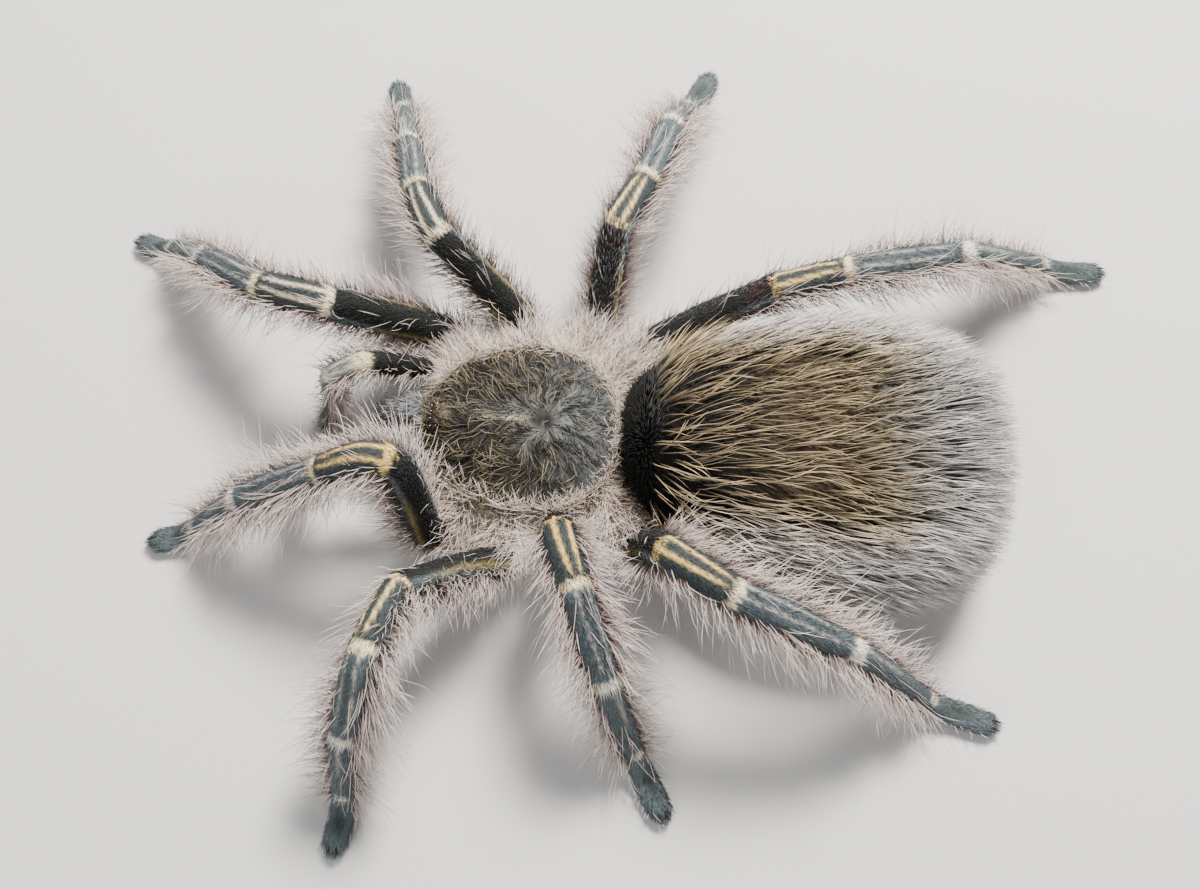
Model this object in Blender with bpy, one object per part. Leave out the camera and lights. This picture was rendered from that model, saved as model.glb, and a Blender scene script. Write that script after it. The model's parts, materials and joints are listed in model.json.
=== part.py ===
"""Chaco golden knee tarantula (Grammostola pulchripes), adult female, life size, a still model.

The animal faces -Y, its left side is +X, +Z is up and the floor is z = 0.
Every size below is in millimetres; meshes are written in metres.
Each limb is a tube that follows a rounded path through its joints and is cut at the joints
into separate solids; the body is a domed shield over a ring of hip segments, a pedicel and
an egg-shaped abdomen whose belly rests on the floor.
"""
import math

import bmesh
import bpy
import numpy as np

MM = 0.001
GAP = 0.3                      # clearance left between touching solids
FLOOR = 0.0

# ---- head shield (carapace) ----
SHIELD_LENGTH = 25.0
SHIELD_WIDTH = 22.4
SHIELD_CENTRE_Y = -3.0         # the pit in the shield is at y = 0
SHIELD_RIM_LOW = 8.2
SHIELD_RIM_HIGH = 8.9
SHIELD_DOME = 2.9
DOME_FALL = 2.6                # how late the dome falls away to the rim, behind and in front
FRONT_FALL = 9.0
HEAD_RISE = 0.8                # extra height of the head region in front of the pit
HEAD_Y = -8.5
PIT_DEPTH = 0.9
SHIELD_SIDES = 28
SHIELD_RINGS = 7

# ---- underside plate (sternum) ----
STERNUM_HALF_WIDTH = 3.7
STERNUM_HALF_LENGTH = 5.4
STERNUM_Y = -1.2
STERNUM_LOW = 3.1
STERNUM_HIGH = 7.8
STERNUM_EDGES = (0.35, 1.2, 0.5)          # heights over which the edge rounds, below and above
STERNUM_SIDES = 18

# ---- eye mound and eyes ----
MOUND_Y = -13.6
MOUND_HALF_WIDTH = 2.05
MOUND_HALF_LENGTH = 1.25
MOUND_HEIGHT = 1.15
MOUND_CLEARANCE = 0.2
SOCKET_CLEARANCE = 0.06
MOUND_SIDES = 20
EYE_SINK = 0.1                 # an eye's middle lies this part of its radius under the mound
EYES = {                       # sideways and lengthways place on the mound, radius
    "front_middle": (0.50, -0.50, 0.30),
    "front_outer": (1.38, -0.52, 0.33),
    "rear_middle": (0.86, 0.32, 0.20),
    "rear_outer": (1.55, 0.28, 0.28),
}

# ---- jaws ----
JAW_SPACING = 2.3              # half the distance between the two jaws' middles
JAW_HALF_WIDTH = 2.1
JAW_HALF_DEPTH = 3.0
JAW_PATH = ((-15.9, 7.0), (-19.1, 7.2), (-19.7, 2.0))      # (y, z)
JAW_ROUNDING = 2.9
JAW_SHAPE = {0.0: 0.72, 0.12: 0.95, 0.5: 1.0, 0.85: 0.86, 1.0: 0.55}      # part of the girth along it
JAW_RINGS = 8
FANG_PATH = ((-20.6, 0.95), (-18.2, 0.95), (-16.0, 2.1))   # (y, z)
FANG_RADIUS = 0.62
FANG_TIP = 0.14
FANG_ROUNDING = 2.4
FANG_RINGS = 6
FANG_SIDES = 8

# ---- pedicel and abdomen ----
PEDICEL_RADIUS = 1.25
PEDICEL_Z = 6.4
PEDICEL_CLIMB = 0.8
ABDOMEN_START = 10.6
ABDOMEN_LENGTH = 46.2
ABDOMEN_HALF_WIDTH = 19.0      # out to the tips of the coat
ABDOMEN_UP = 13.2
ABDOMEN_DOWN = 11.6
ABDOMEN_MIDDLE_Z = 11.2
ABDOMEN_FRONT_Z = 8.6
ABDOMEN_REAR_Z = 9.4
ABDOMEN_SWING = 3.1            # the abdomen lies a little over to the animal's left
ABDOMEN_TAIL_SHIFT = 1.0
ABDOMEN_FULLNESS = 2.15        # power of the outline's curve; 2 would be an ellipse
ABDOMEN_ENDS = (0.045, 0.955)  # where the first and last ring stand, as parts of a half turn
ABDOMEN_SIDES = 26
ABDOMEN_RINGS = 14
SPINNERET_PATH = ((1.4, 52.3, 1.15), (2.2, 54.6, 1.35), (2.9, 57.0, 2.1))
SPINNERET_RADIUS = (0.85, 0.5)
SPINNERET_ROUNDING = 1.5
SPINNERET_TIP = 0.6
SPINNERET_RINGS = 5
SPINNERET_SIDES = 8

# ---- limbs ----
LIMB_SIDES = 12
LEG_RINGS = (8, 4, 4, 11)       # rings of the thigh, knee, shin and foot
PALP_RINGS = (7, 4, 8)
KNEE_ROUNDING = 3.1            # radius of the rounded path at each joint
HIP_Z = 5.5
TIP_Z = 1.18                   # height of the middle of the foot pad above the floor
COXA_IN = {1: (5.2, -6.6), 2: (6.3, -2.9), 3: (6.3, 1.6), 4: (5.1, 5.7)}
HIP = {1: (14.5, -13.5), 2: (16.5, -4.5), 3: (17.0, 4.5), 4: (14.0, 13.0)}
SEGMENTS = {                   # femur, patella, tibia, metatarsus, tarsus
    1: (20.4, 11.2, 13.6, 11.0, 7.2),
    2: (17.4, 9.8, 11.8, 11.4, 7.4),
    3: (13.8, 8.8, 11.8, 13.6, 8.6),
    4: (18.0, 10.0, 16.0, 18.4, 9.2),
}
FOOT_SLOPE = {1: -20, 2: -22, 3: -14, 4: -12}
HIP_SHIFT = {(2, "right"): 0.8, (3, "right"): 1.8, (3, "left"): -0.5}      # hips moved backward
# heading of five segments (0 = sideways, 90 = backward) and rise of the first three, in degrees
POSE = {
    (1, "left"): ((-155, -84, -81, -80, -76), (74, -33, -31)),
    (2, "left"): ((-56, -14, -20, -12, -10), (43, 29, -44)),
    (3, "left"): ((44, 20, 22, 30, 29), (99, 11, -30)),
    (4, "left"): ((19, 58, 73, 76, 75), (73, 6, -24)),
    (1, "right"): ((-106, -68, -56, -54, -69), (48, -21, -26)),
    (2, "right"): ((-62, -24, -16, -14, -17), (45, -18, -24)),
    (3, "right"): ((12, 26, 16, 15, 26), (54, -3, -17)),
    (4, "right"): ((73.5, 78.5, 76, 70, 88), (26, 13, -4)),
}
LEG_GIRTH = {                  # half width and half depth at each named place
    "coxa": (1.75, 1.75),
    "coxa_middle": (2.4, 2.4),
    "hip": (2.6, 2.5),
    "femur": (2.6, 2.65),
    "knee": (2.4, 2.45),
    "patella": (2.6, 2.5),
    "patella_end": (2.35, 2.3),
    "tibia": (2.4, 2.35),
    "tibia_end": (2.05, 2.0),
    "metatarsus": (2.0, 1.85),
    "metatarsus_end": (1.85, 1.6),
    "tarsus": (2.2, 1.45),
    "tip": (1.95, 1.35),
}
COXA_MIDDLE = 0.45             # where along the coxa it reaches its full girth
TIP_ROUNDING = 1.8
PAD_REACH = 0.6                # part of the last segment that lies level

# ---- feelers (palps) ----
PALP_COXA_IN = (3.0, -10.3)
PALP_HIP = (9.0, -14.8)
PALP_HIP_Z = 6.2
PALP_SEGMENTS = (11.8, 5.2, 6.8, 6.0)
PALP_POSE = {                  # degrees: heading of four segments, rise of three
    "left": ((-104, -82, -80, -80), (34, -8, -72)),
    "right": ((-111, -106, -116, -130), (43, -24, -84)),
}
PALP_ROUNDING = 2.1
PALP_TIP_Z = 0.12
PALP_GIRTH = ((1.35, 1.35), (1.7, 1.7), (2.0, 2.05), (1.8, 1.85), (1.85, 1.85),
              (1.7, 1.7), (1.65, 1.65), (1.45, 1.45), (1.45, 1.45), (1.3, 1.3))
PALP_TIP_ROUNDING = 1.2

SIDES = {"left": 1.0, "right": -1.0}


# ---------------------------------------------------------------- materials
def material(name, colour, roughness, metallic=0.0):
    """One Principled material."""
    mat = bpy.data.materials.new(name)
    mat.use_nodes = True
    shader = mat.node_tree.nodes["Principled BSDF"]
    shader.inputs["Base Color"].default_value = (*colour, 1.0)
    shader.inputs["Roughness"].default_value = roughness
    shader.inputs["Metallic"].default_value = metallic
    return mat


def black_velvet():
    return material("black_velvet_coat", (0.022, 0.025, 0.023), 0.85)


def golden_coat():
    return material("golden_striped_coat", (0.16, 0.125, 0.06), 0.85)


def slate_coat():
    return material("slate_coat", (0.07, 0.085, 0.095), 0.85)


def foot_coat():
    return material("foot_coat", (0.08, 0.1, 0.105), 0.9)


def shield_brown():
    return material("shield_brown", (0.07, 0.062, 0.05), 0.6)


def belly_brown():
    return material("underside_brown", (0.06, 0.045, 0.035), 0.8)


def abdomen_coat():
    return material("abdomen_coat", (0.24, 0.18, 0.13), 0.9)


def jaw_grey():
    return material("jaw_grey", (0.13, 0.125, 0.12), 0.8)


def eye_black():
    return material("eye_black", (0.008, 0.008, 0.01), 0.08)


def fang_black():
    return material("fang_black", (0.015, 0.01, 0.008), 0.2)


def spinneret_brown():
    return material("spinneret_brown", (0.12, 0.085, 0.06), 0.8)


# ---------------------------------------------------------------- mesh helpers
def add_object(name, points, faces, mat):
    """A mesh object from millimetre points, faces turned outward."""
    mesh = bpy.data.meshes.new(name)
    mesh.from_pydata([tuple(float(c) * MM for c in p) for p in points], [], faces)
    bm = bmesh.new()
    bm.from_mesh(mesh)
    bmesh.ops.recalc_face_normals(bm, faces=bm.faces)
    bm.to_mesh(mesh)
    bm.free()
    mesh.update()
    obj = bpy.data.objects.new(name, mesh)
    bpy.context.scene.collection.objects.link(obj)
    obj.data.materials.append(mat)
    return obj


def loft(rings):
    """Points and faces of closed rings joined in order, with both ends capped."""
    sides = len(rings[0])
    points = [p for ring in rings for p in ring]
    faces = []
    for i in range(len(rings) - 1):
        for j in range(sides):
            k = (j + 1) % sides
            faces.append((i * sides + j, i * sides + k, (i + 1) * sides + k, (i + 1) * sides + j))
    faces.append(tuple(range(sides))[::-1])
    last = (len(rings) - 1) * sides
    faces.append(tuple(range(last, last + sides)))
    return points, faces


def unit(v):
    return v / np.linalg.norm(v)


def direction(heading, rise):
    """Unit vector of a heading (0 = sideways, 90 = backward) and a rise, in degrees."""
    a = math.radians(heading)
    b = math.radians(rise)
    return np.array([math.cos(b) * math.cos(a), math.cos(b) * math.sin(a), math.sin(b)])


class Path:
    """Straight runs between corner points, every inner corner rounded by an arc."""

    ARC_STEPS = 10

    def __init__(self, corners, rounding):
        pts = [np.array(c, float) for c in corners]
        points = [pts[0]]
        middles = []
        for a, b, c in zip(pts[:-2], pts[1:-1], pts[2:]):
            u = unit(a - b)
            v = unit(c - b)
            half = (math.pi - math.acos(max(-1.0, min(1.0, float(u @ v))))) / 2
            half = max(half, 0.01)
            reach = min(rounding * math.tan(half), 0.46 * np.linalg.norm(a - b),
                        0.46 * np.linalg.norm(c - b))
            radius = reach / math.tan(half)
            inward = unit(u + v + 1e-9 * np.array([0, 0, 1.0]))
            across = unit(v - u)
            centre = b + inward * radius / math.cos(half)
            for k in range(self.ARC_STEPS + 1):
                turn = half * (2 * k / self.ARC_STEPS - 1)
                points.append(centre - inward * radius * math.cos(turn) + across * radius * math.sin(turn))
                if k == self.ARC_STEPS // 2:
                    middles.append(len(points) - 1)
        points.append(pts[-1])
        self.points = np.array(points)
        steps = np.linalg.norm(np.diff(self.points, axis=0), axis=1)
        self.length = np.concatenate([[0.0], np.cumsum(steps)])
        self.total = float(self.length[-1])
        self.joints = [float(self.length[i]) for i in middles]
        self.frames()

    def frames(self):
        """Sideways and tangent vectors carried along the path without twisting,
        then turned evenly so that the far end lies level."""
        along = np.diff(self.points, axis=0)
        keep = np.linalg.norm(along, axis=1) > 1e-9
        along[~keep] = along[np.argmax(keep)]
        along = along / np.linalg.norm(along, axis=1)[:, None]
        tangent = np.vstack([along[:1], along[:-1] + along[1:], along[-1:]])
        tangent = tangent / np.linalg.norm(tangent, axis=1)[:, None]
        side = [unit(np.cross(tangent[0], (0, 0, 1)))]
        for t in tangent[1:]:
            side.append(unit(side[-1] - t * (side[-1] @ t)))
        level = unit(np.cross(tangent[-1], (0, 0, 1)))
        up = np.cross(side[-1], tangent[-1])
        twist = math.atan2(float(level @ up), float(level @ side[-1]))
        turned = []
        for t, s, part in zip(tangent, side, self.length / self.total):
            turned.append(math.cos(part * twist) * s + math.sin(part * twist) * np.cross(s, t))
        self.tangent = tangent
        self.side = np.array(turned)

    def at(self, s):
        """Point, sideways, upward vectors at a length along the path."""
        point = np.array([np.interp(s, self.length, self.points[:, k]) for k in range(3)])
        tangent = unit(np.array([np.interp(s, self.length, self.tangent[:, k]) for k in range(3)]))
        side = np.array([np.interp(s, self.length, self.side[:, k]) for k in range(3)])
        side = unit(side - tangent * (side @ tangent))
        return point, side, np.cross(side, tangent)

    def stations(self, start, end, count):
        """Lengths closer together where the path bends."""
        s = np.linspace(start, end, 121)
        ups = np.array([np.cross(self.at(v)[1], self.at(v)[2]) for v in s])
        cosines = np.clip(np.sum(ups[1:] * ups[:-1], axis=1), -1.0, 1.0)
        turn = np.concatenate([[0.0], np.cumsum(np.arccos(cosines))])
        measure = (s - start) / (end - start) + turn / 1.2
        return np.interp(np.linspace(0, measure[-1], count), measure, s)


def ring_at(path, s, half_width, half_depth, sides):
    """One ring of an ellipse across a path."""
    point, side, up = path.at(s)
    ring = []
    for k in range(sides):
        a = 2 * math.pi * (k + 0.5) / sides
        ring.append(point + side * half_width * math.cos(a) + up * half_depth * math.sin(a))
    return ring


def round_off(s, end, reach):
    """Factor that closes a tube in a rounded tip over a reach."""
    t = max(0.0, (s - (end - reach)) / reach)
    return math.sqrt(max(0.09, 1 - t * t))


def on_floor(points):
    """Points below the floor lifted onto it, which leaves a small flat."""
    return [np.array([p[0], p[1], max(p[2], FLOOR)]) for p in points]


def tube(name, path, start, end, girth, rings, mat, tip=0.0, sides=LIMB_SIDES):
    """A closed tube along a stretch of a path; girth(s) gives half width and half depth."""
    loops = []
    for s in path.stations(start, end, rings):
        wide, deep = girth(s)
        factor = round_off(s, end, tip) if tip else 1.0
        loops.append(ring_at(path, s, wide * factor, deep * factor, sides))
    points, faces = loft(loops)
    return add_object(name, on_floor(points), faces, mat)


def girth_along(places, values):
    """Half width and half depth read between named places on a path."""
    wide = [v[0] for v in values]
    deep = [v[1] for v in values]
    return lambda s: (float(np.interp(s, places, wide)), float(np.interp(s, places, deep)))


# ---------------------------------------------------------------- limbs
def leg_corners(pair, side):
    """Joint points of one leg from the inner end of the coxa to the tip."""
    heading, rise = POSE[(pair, side)]
    lengths = SEGMENTS[pair]
    shift = HIP_SHIFT.get((pair, side), 0.0)
    points = [np.array([*COXA_IN[pair], HIP_Z]), np.array([*HIP[pair], HIP_Z]) + (0, shift, 0)]
    for k in range(3):
        points.append(points[-1] + lengths[k] * direction(heading[k], rise[k]))
    foot_start = TIP_Z - lengths[4] * math.sin(math.radians(FOOT_SLOPE[pair]))
    drop = math.degrees(math.asin((foot_start - points[-1][2]) / lengths[3]))
    points.append(points[-1] + lengths[3] * direction(heading[3], drop))
    points.append(points[-1] + lengths[4] * direction(heading[4], FOOT_SLOPE[pair]))
    return [p * np.array([SIDES[side], 1, 1]) for p in points]


def settle_foot(corners, reach=PAD_REACH):
    """Corner points with one more near the tip, so that the pad lies level on the floor."""
    before, tip = corners[-2], corners[-1]
    flat = before + (tip - before) * (1 - reach)
    flat[2] = TIP_Z
    return corners[:-1] + [flat, tip]


def leg(pair, side, mats):
    """Four solids of one leg: hip and femur, patella, tibia, metatarsus and tarsus."""
    path = Path(settle_foot(leg_corners(pair, side)), KNEE_ROUNDING)
    hip, knee, patella_end, tibia_end, ankle, pad = path.joints
    places = [0, hip * COXA_MIDDLE, hip, (hip + knee) / 2, knee, (knee + patella_end) / 2, patella_end,
              (patella_end + tibia_end) / 2, tibia_end, (tibia_end + ankle) / 2, ankle, pad, path.total]
    girth = girth_along(places, list(LEG_GIRTH.values()))
    name = f"leg_{pair}_{side}"
    half = GAP / 2
    cuts = ((0, knee - half), (knee + half, patella_end - half), (patella_end + half, tibia_end - half),
            (tibia_end + half, path.total))
    for part, (start, end), rings in zip(("thigh", "knee", "shin", "foot"), cuts, LEG_RINGS):
        tip = TIP_ROUNDING if part == "foot" else 0.0
        tube(f"{name}_{part}", path, start, end, girth, rings, mats[part], tip)


def palp_corners(side):
    """Joint points of one feeler from the inner end of its coxa to the tip."""
    heading, rise = PALP_POSE[side]
    points = [np.array([*PALP_COXA_IN, HIP_Z]), np.array([*PALP_HIP, PALP_HIP_Z])]
    for k in range(3):
        points.append(points[-1] + PALP_SEGMENTS[k] * direction(heading[k], rise[k]))
    last = PALP_SEGMENTS[3]
    drop = math.degrees(math.asin((PALP_TIP_Z - points[-1][2]) / last))
    points.append(points[-1] + last * direction(heading[3], drop))
    return [p * np.array([SIDES[side], 1, 1]) for p in points]


def palp(side, mats):
    """Three solids of one feeler: hip and femur, patella, tibia and tarsus."""
    path = Path(palp_corners(side), PALP_ROUNDING)
    hip, knee, patella_end, tibia_end = path.joints
    places = [0, hip, (hip + knee) / 2, knee, (knee + patella_end) / 2, patella_end,
              (patella_end + tibia_end) / 2, tibia_end, (tibia_end + path.total) / 2, path.total]
    girth = girth_along(places, PALP_GIRTH)
    name = f"palp_{side}"
    half = GAP / 2
    cuts = ((0, knee - half), (knee + half, patella_end - half), (patella_end + half, path.total))
    for part, (start, end), rings in zip(("thigh", "knee", "foot"), cuts, PALP_RINGS):
        tip = PALP_TIP_ROUNDING if part == "foot" else 0.0
        tube(f"{name}_{part}", path, start, end, girth, rings, mats[part], tip)


# ---------------------------------------------------------------- body
def shield_outline(angle):
    """Point of the shield's rim; angle 0 is the front."""
    across = math.copysign(abs(math.sin(angle)) ** 0.9, math.sin(angle))
    x = SHIELD_WIDTH / 2 * across * (1 - 0.12 * math.cos(angle))
    y = SHIELD_CENTRE_Y - SHIELD_LENGTH / 2 * math.cos(angle)
    return x, y


def shield_part(x, y):
    """How far out a place lies from the pit towards the rim, 0 to 1."""
    rim = np.array([shield_outline(2 * math.pi * k / 180) for k in range(181)])
    bearing = np.unwrap(np.arctan2(rim[:, 0], -rim[:, 1]))
    here = math.atan2(x, -y) % (2 * math.pi)
    reach = float(np.interp(here, bearing, np.hypot(rim[:, 0], rim[:, 1])))
    return min(1.0, math.hypot(x, y) / reach)


def shield_height(x, y, part):
    """Height of the shield's upper face; part is 0 at the pit and 1 at the rim."""
    front = (max(0.0, -y) / max(1e-6, math.hypot(x, y))) ** 3
    dome = SHIELD_DOME * (1 - part ** (DOME_FALL + (FRONT_FALL - DOME_FALL) * front))
    head = HEAD_RISE * math.exp(-((y - HEAD_Y) / 5.0) ** 2 - (x / 4.2) ** 2) * (1 - part ** 6)
    pit = PIT_DEPTH * math.exp(-(y / 1.3) ** 2 - (x / 1.9) ** 2)
    return SHIELD_RIM_HIGH + dome + head - pit


def carapace(mat):
    """Domed head shield with its pit and raised head region."""
    rim = [shield_outline(2 * math.pi * k / SHIELD_SIDES) for k in range(SHIELD_SIDES)]
    rings = [[(x * 0.975, y * 0.975, SHIELD_RIM_LOW) for x, y in rim]]
    for i in range(SHIELD_RINGS + 1):
        part = math.cos(0.5 * math.pi * i / (SHIELD_RINGS + 0.35))
        rings.append([(x * part, y * part, shield_height(x * part, y * part, part)) for x, y in rim])
    points, faces = loft(rings)
    return add_object("carapace", points, faces, mat)


def sternum(mat):
    """Low oval block under the shield that the legs' inner ends stand round."""
    rings = []
    edge, shoulder, upper = STERNUM_EDGES
    levels = ((0.55, STERNUM_LOW), (0.9, STERNUM_LOW + edge), (1.0, STERNUM_LOW + shoulder),
              (1.0, STERNUM_HIGH - upper), (0.9, STERNUM_HIGH))
    for part, z in levels:
        ring = []
        for k in range(STERNUM_SIDES):
            a = 2 * math.pi * k / STERNUM_SIDES
            ring.append((STERNUM_HALF_WIDTH * part * math.sin(a),
                         STERNUM_Y - STERNUM_HALF_LENGTH * part * math.cos(a), z))
        rings.append(ring)
    points, faces = loft(rings)
    return add_object("sternum", points, faces, mat)


def mound_point(part, angle, rise):
    """Point of the eye mound: part of the way out, on the shield, raised by a part of the height."""
    x = MOUND_HALF_WIDTH * part * math.sin(angle)
    y = MOUND_Y - MOUND_HALF_LENGTH * part * math.cos(angle)
    ground = shield_height(x, y, shield_part(x, y)) + MOUND_CLEARANCE
    return x, y, ground + MOUND_HEIGHT * rise


def eye_places():
    """Name, middle point and radius of every eye; eyes sit a little over half deep."""
    places = []
    for name, (x, y, radius) in EYES.items():
        part = math.hypot(x / MOUND_HALF_WIDTH, y / MOUND_HALF_LENGTH)
        angle = math.atan2(x / MOUND_HALF_WIDTH, -y / MOUND_HALF_LENGTH)
        for side, sign in SIDES.items():
            point = mound_point(part, angle * sign, math.sqrt(1 - part * part))
            places.append((f"eye_{name}_{side}", (point[0], point[1], point[2] - EYE_SINK * radius), radius))
    return places


def ball(name, middle, radius, mat, columns=8, rows=4):
    """A small ball of columns and rows."""
    rings = []
    for i in range(rows + 1):
        a = math.pi * (0.1 + 0.8 * i / rows)
        ring = []
        for k in range(columns):
            b = 2 * math.pi * k / columns
            ring.append((middle[0] + radius * math.sin(a) * math.cos(b),
                         middle[1] + radius * math.sin(a) * math.sin(b),
                         middle[2] - radius * math.cos(a)))
        rings.append(ring)
    points, faces = loft(rings)
    return add_object(name, points, faces, mat)


def eye_mound(mat):
    """Low oval mound with a socket cut for each eye."""
    rings = []
    steps = [(part, 0.0) for part in (0.15, 0.5, 0.8, 1.0)]
    steps += [(part, math.sqrt(1 - part * part)) for part in (0.97, 0.86, 0.68, 0.45, 0.15)]
    for part, rise in steps:
        rings.append([mound_point(part, 2 * math.pi * k / MOUND_SIDES, rise) for k in range(MOUND_SIDES)])
    points, faces = loft(rings)
    mound = add_object("eye_mound", points, faces, mat)
    for name, middle, radius in eye_places():
        cutter = ball(f"socket_{name}", middle, radius + SOCKET_CLEARANCE, mat)
        cutter.hide_render = True
        cutter.display_type = "WIRE"
        cut = mound.modifiers.new(name, "BOOLEAN")
        cut.operation = "DIFFERENCE"
        cut.solver = "EXACT"
        cut.object = cutter
    return mound


def jaw(side, mat):
    """One chelicera: a stout rounded block that comes forward and turns down."""
    x = JAW_SPACING * SIDES[side]
    path = Path([(x, y, z) for y, z in JAW_PATH], JAW_ROUNDING)
    places = [end * path.total for end in JAW_SHAPE]
    girth = girth_along(places, [(JAW_HALF_WIDTH * w, JAW_HALF_DEPTH * w) for w in JAW_SHAPE.values()])
    return tube(f"chelicera_{side}", path, 0, path.total, girth, JAW_RINGS, mat)


def fang(side, mat):
    """One fang, folded back under its chelicera."""
    x = JAW_SPACING * SIDES[side]
    path = Path([(x, y, z) for y, z in FANG_PATH], FANG_ROUNDING)
    girth = girth_along([0, path.total], [(FANG_RADIUS,) * 2, (FANG_TIP,) * 2])
    return tube(f"fang_{side}", path, 0, path.total, girth, FANG_RINGS, mat, sides=FANG_SIDES)


def pedicel(mat):
    """Narrow waist between the shield's underside and the abdomen."""
    start = STERNUM_Y + STERNUM_HALF_LENGTH + GAP
    end = ABDOMEN_START - GAP
    path = Path([(0, start, PEDICEL_Z), (0, end, PEDICEL_Z + PEDICEL_CLIMB)], 1.0)
    girth = girth_along([0, path.total], [(PEDICEL_RADIUS,) * 2, (PEDICEL_RADIUS * 0.9,) * 2])
    return tube("pedicel", path, 0, path.total, girth, 3, mat)


def abdomen(mat):
    """Egg-shaped abdomen out to the tips of its coat, its belly flat on the floor."""
    rings = []
    for i in range(ABDOMEN_RINGS):
        first, last = ABDOMEN_ENDS
        t = 0.5 - 0.5 * math.cos(math.pi * (first + (last - first) * i / (ABDOMEN_RINGS - 1)))
        full = math.sqrt(1 - abs(2 * t - 1) ** ABDOMEN_FULLNESS)
        middle_z = float(np.interp(t, (0, 0.45, 1), (ABDOMEN_FRONT_Z, ABDOMEN_MIDDLE_Z, ABDOMEN_REAR_Z)))
        middle_x = ABDOMEN_SWING * math.sin(math.pi * t) ** 0.8 + ABDOMEN_TAIL_SHIFT * t
        y = ABDOMEN_START + ABDOMEN_LENGTH * (t - 0.005) / 0.99
        ring = []
        for k in range(ABDOMEN_SIDES):
            a = 2 * math.pi * (k + 0.5) / ABDOMEN_SIDES
            tall = ABDOMEN_UP if math.sin(a) > 0 else ABDOMEN_DOWN
            ring.append((middle_x + ABDOMEN_HALF_WIDTH * full * math.cos(a), y,
                         middle_z + tall * full * math.sin(a)))
        rings.append(ring)
    points, faces = loft(rings)
    return add_object("abdomen", on_floor(points), faces, mat)


def spinneret(side, mat):
    """One spinneret under the rear of the abdomen."""
    path = Path([(x * SIDES[side], y, z) for x, y, z in SPINNERET_PATH], SPINNERET_ROUNDING)
    girth = girth_along([0, path.total], [(SPINNERET_RADIUS[0],) * 2, (SPINNERET_RADIUS[1],) * 2])
    return tube(f"spinneret_{side}", path, 0, path.total, girth, SPINNERET_RINGS, mat, tip=SPINNERET_TIP,
                sides=SPINNERET_SIDES)


def centre_on_floor():
    """Everything moved so that the middle of the whole box stands over the origin."""
    solids = [o for o in bpy.data.objects if o.type == "MESH" and not o.hide_render]
    points = np.array([v.co[:] for o in solids for v in o.data.vertices])
    middle = (points.min(axis=0) + points.max(axis=0)) / 2
    for obj in bpy.data.objects:
        for v in obj.data.vertices:
            v.co.x -= middle[0]
            v.co.y -= middle[1]


def build():
    for old in list(bpy.data.objects):
        bpy.data.objects.remove(old, do_unlink=True)
    dark = belly_brown()
    carapace(shield_brown())
    sternum(dark)
    eye_mound(shield_brown())
    glossy = eye_black()
    for name, middle, radius in eye_places():
        ball(name, middle, radius, glossy)
    grey = jaw_grey()
    black = fang_black()
    silk = spinneret_brown()
    coats = {"thigh": black_velvet(), "knee": golden_coat(), "shin": slate_coat(), "foot": foot_coat()}
    for side in SIDES:
        jaw(side, grey)
        fang(side, black)
        spinneret(side, silk)
        palp(side, coats)
        for pair in SEGMENTS:
            leg(pair, side, coats)
    pedicel(dark)
    abdomen(abdomen_coat())
    centre_on_floor()


build()
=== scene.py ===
# %% [markdown]
# # A tarantula in solid fur
# The animal is a female Chaco golden knee: black velvet thighs, knees with golden stripes, slate grey
# shins and a round abdomen under long pale hair. The packed part gives the true outline, out to the
# tips of the coat. This lesson puts one skin a little inside it and grows the coat out of that skin,
# hair by hair, as closed meshes.

# %% The packed part comes in as a fixed frame
import json
import math

import bpy
import numpy as np
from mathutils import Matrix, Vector

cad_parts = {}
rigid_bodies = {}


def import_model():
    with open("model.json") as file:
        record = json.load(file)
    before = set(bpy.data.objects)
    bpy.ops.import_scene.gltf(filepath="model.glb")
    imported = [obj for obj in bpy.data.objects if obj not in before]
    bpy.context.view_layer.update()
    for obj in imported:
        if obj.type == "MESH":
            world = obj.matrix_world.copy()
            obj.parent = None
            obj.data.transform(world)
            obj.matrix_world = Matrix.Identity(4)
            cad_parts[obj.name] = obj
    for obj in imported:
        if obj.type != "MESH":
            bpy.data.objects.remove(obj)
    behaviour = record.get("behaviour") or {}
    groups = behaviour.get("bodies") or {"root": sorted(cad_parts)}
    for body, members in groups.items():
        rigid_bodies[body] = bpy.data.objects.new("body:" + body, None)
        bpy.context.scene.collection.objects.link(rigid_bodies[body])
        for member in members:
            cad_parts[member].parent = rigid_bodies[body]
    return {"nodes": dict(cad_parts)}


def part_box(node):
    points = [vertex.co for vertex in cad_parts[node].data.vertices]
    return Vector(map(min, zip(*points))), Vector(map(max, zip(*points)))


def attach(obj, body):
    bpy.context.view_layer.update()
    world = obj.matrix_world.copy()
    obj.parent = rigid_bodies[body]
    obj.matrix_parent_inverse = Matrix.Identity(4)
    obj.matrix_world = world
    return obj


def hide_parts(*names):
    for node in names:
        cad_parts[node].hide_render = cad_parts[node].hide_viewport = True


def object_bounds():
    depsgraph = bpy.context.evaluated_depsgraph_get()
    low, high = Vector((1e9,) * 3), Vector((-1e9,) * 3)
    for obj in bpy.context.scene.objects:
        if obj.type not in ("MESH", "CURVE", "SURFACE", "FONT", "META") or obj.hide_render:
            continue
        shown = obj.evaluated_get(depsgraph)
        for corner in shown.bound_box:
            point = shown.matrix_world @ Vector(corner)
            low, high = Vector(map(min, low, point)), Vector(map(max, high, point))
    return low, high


for left_over in list(bpy.data.objects):
    bpy.data.objects.remove(left_over, do_unlink=True)
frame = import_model()
cad_low, cad_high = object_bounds()
print("frame nodes:", len(frame["nodes"]), "size mm:", [round(1000 * v, 1) for v in cad_high - cad_low])

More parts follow.
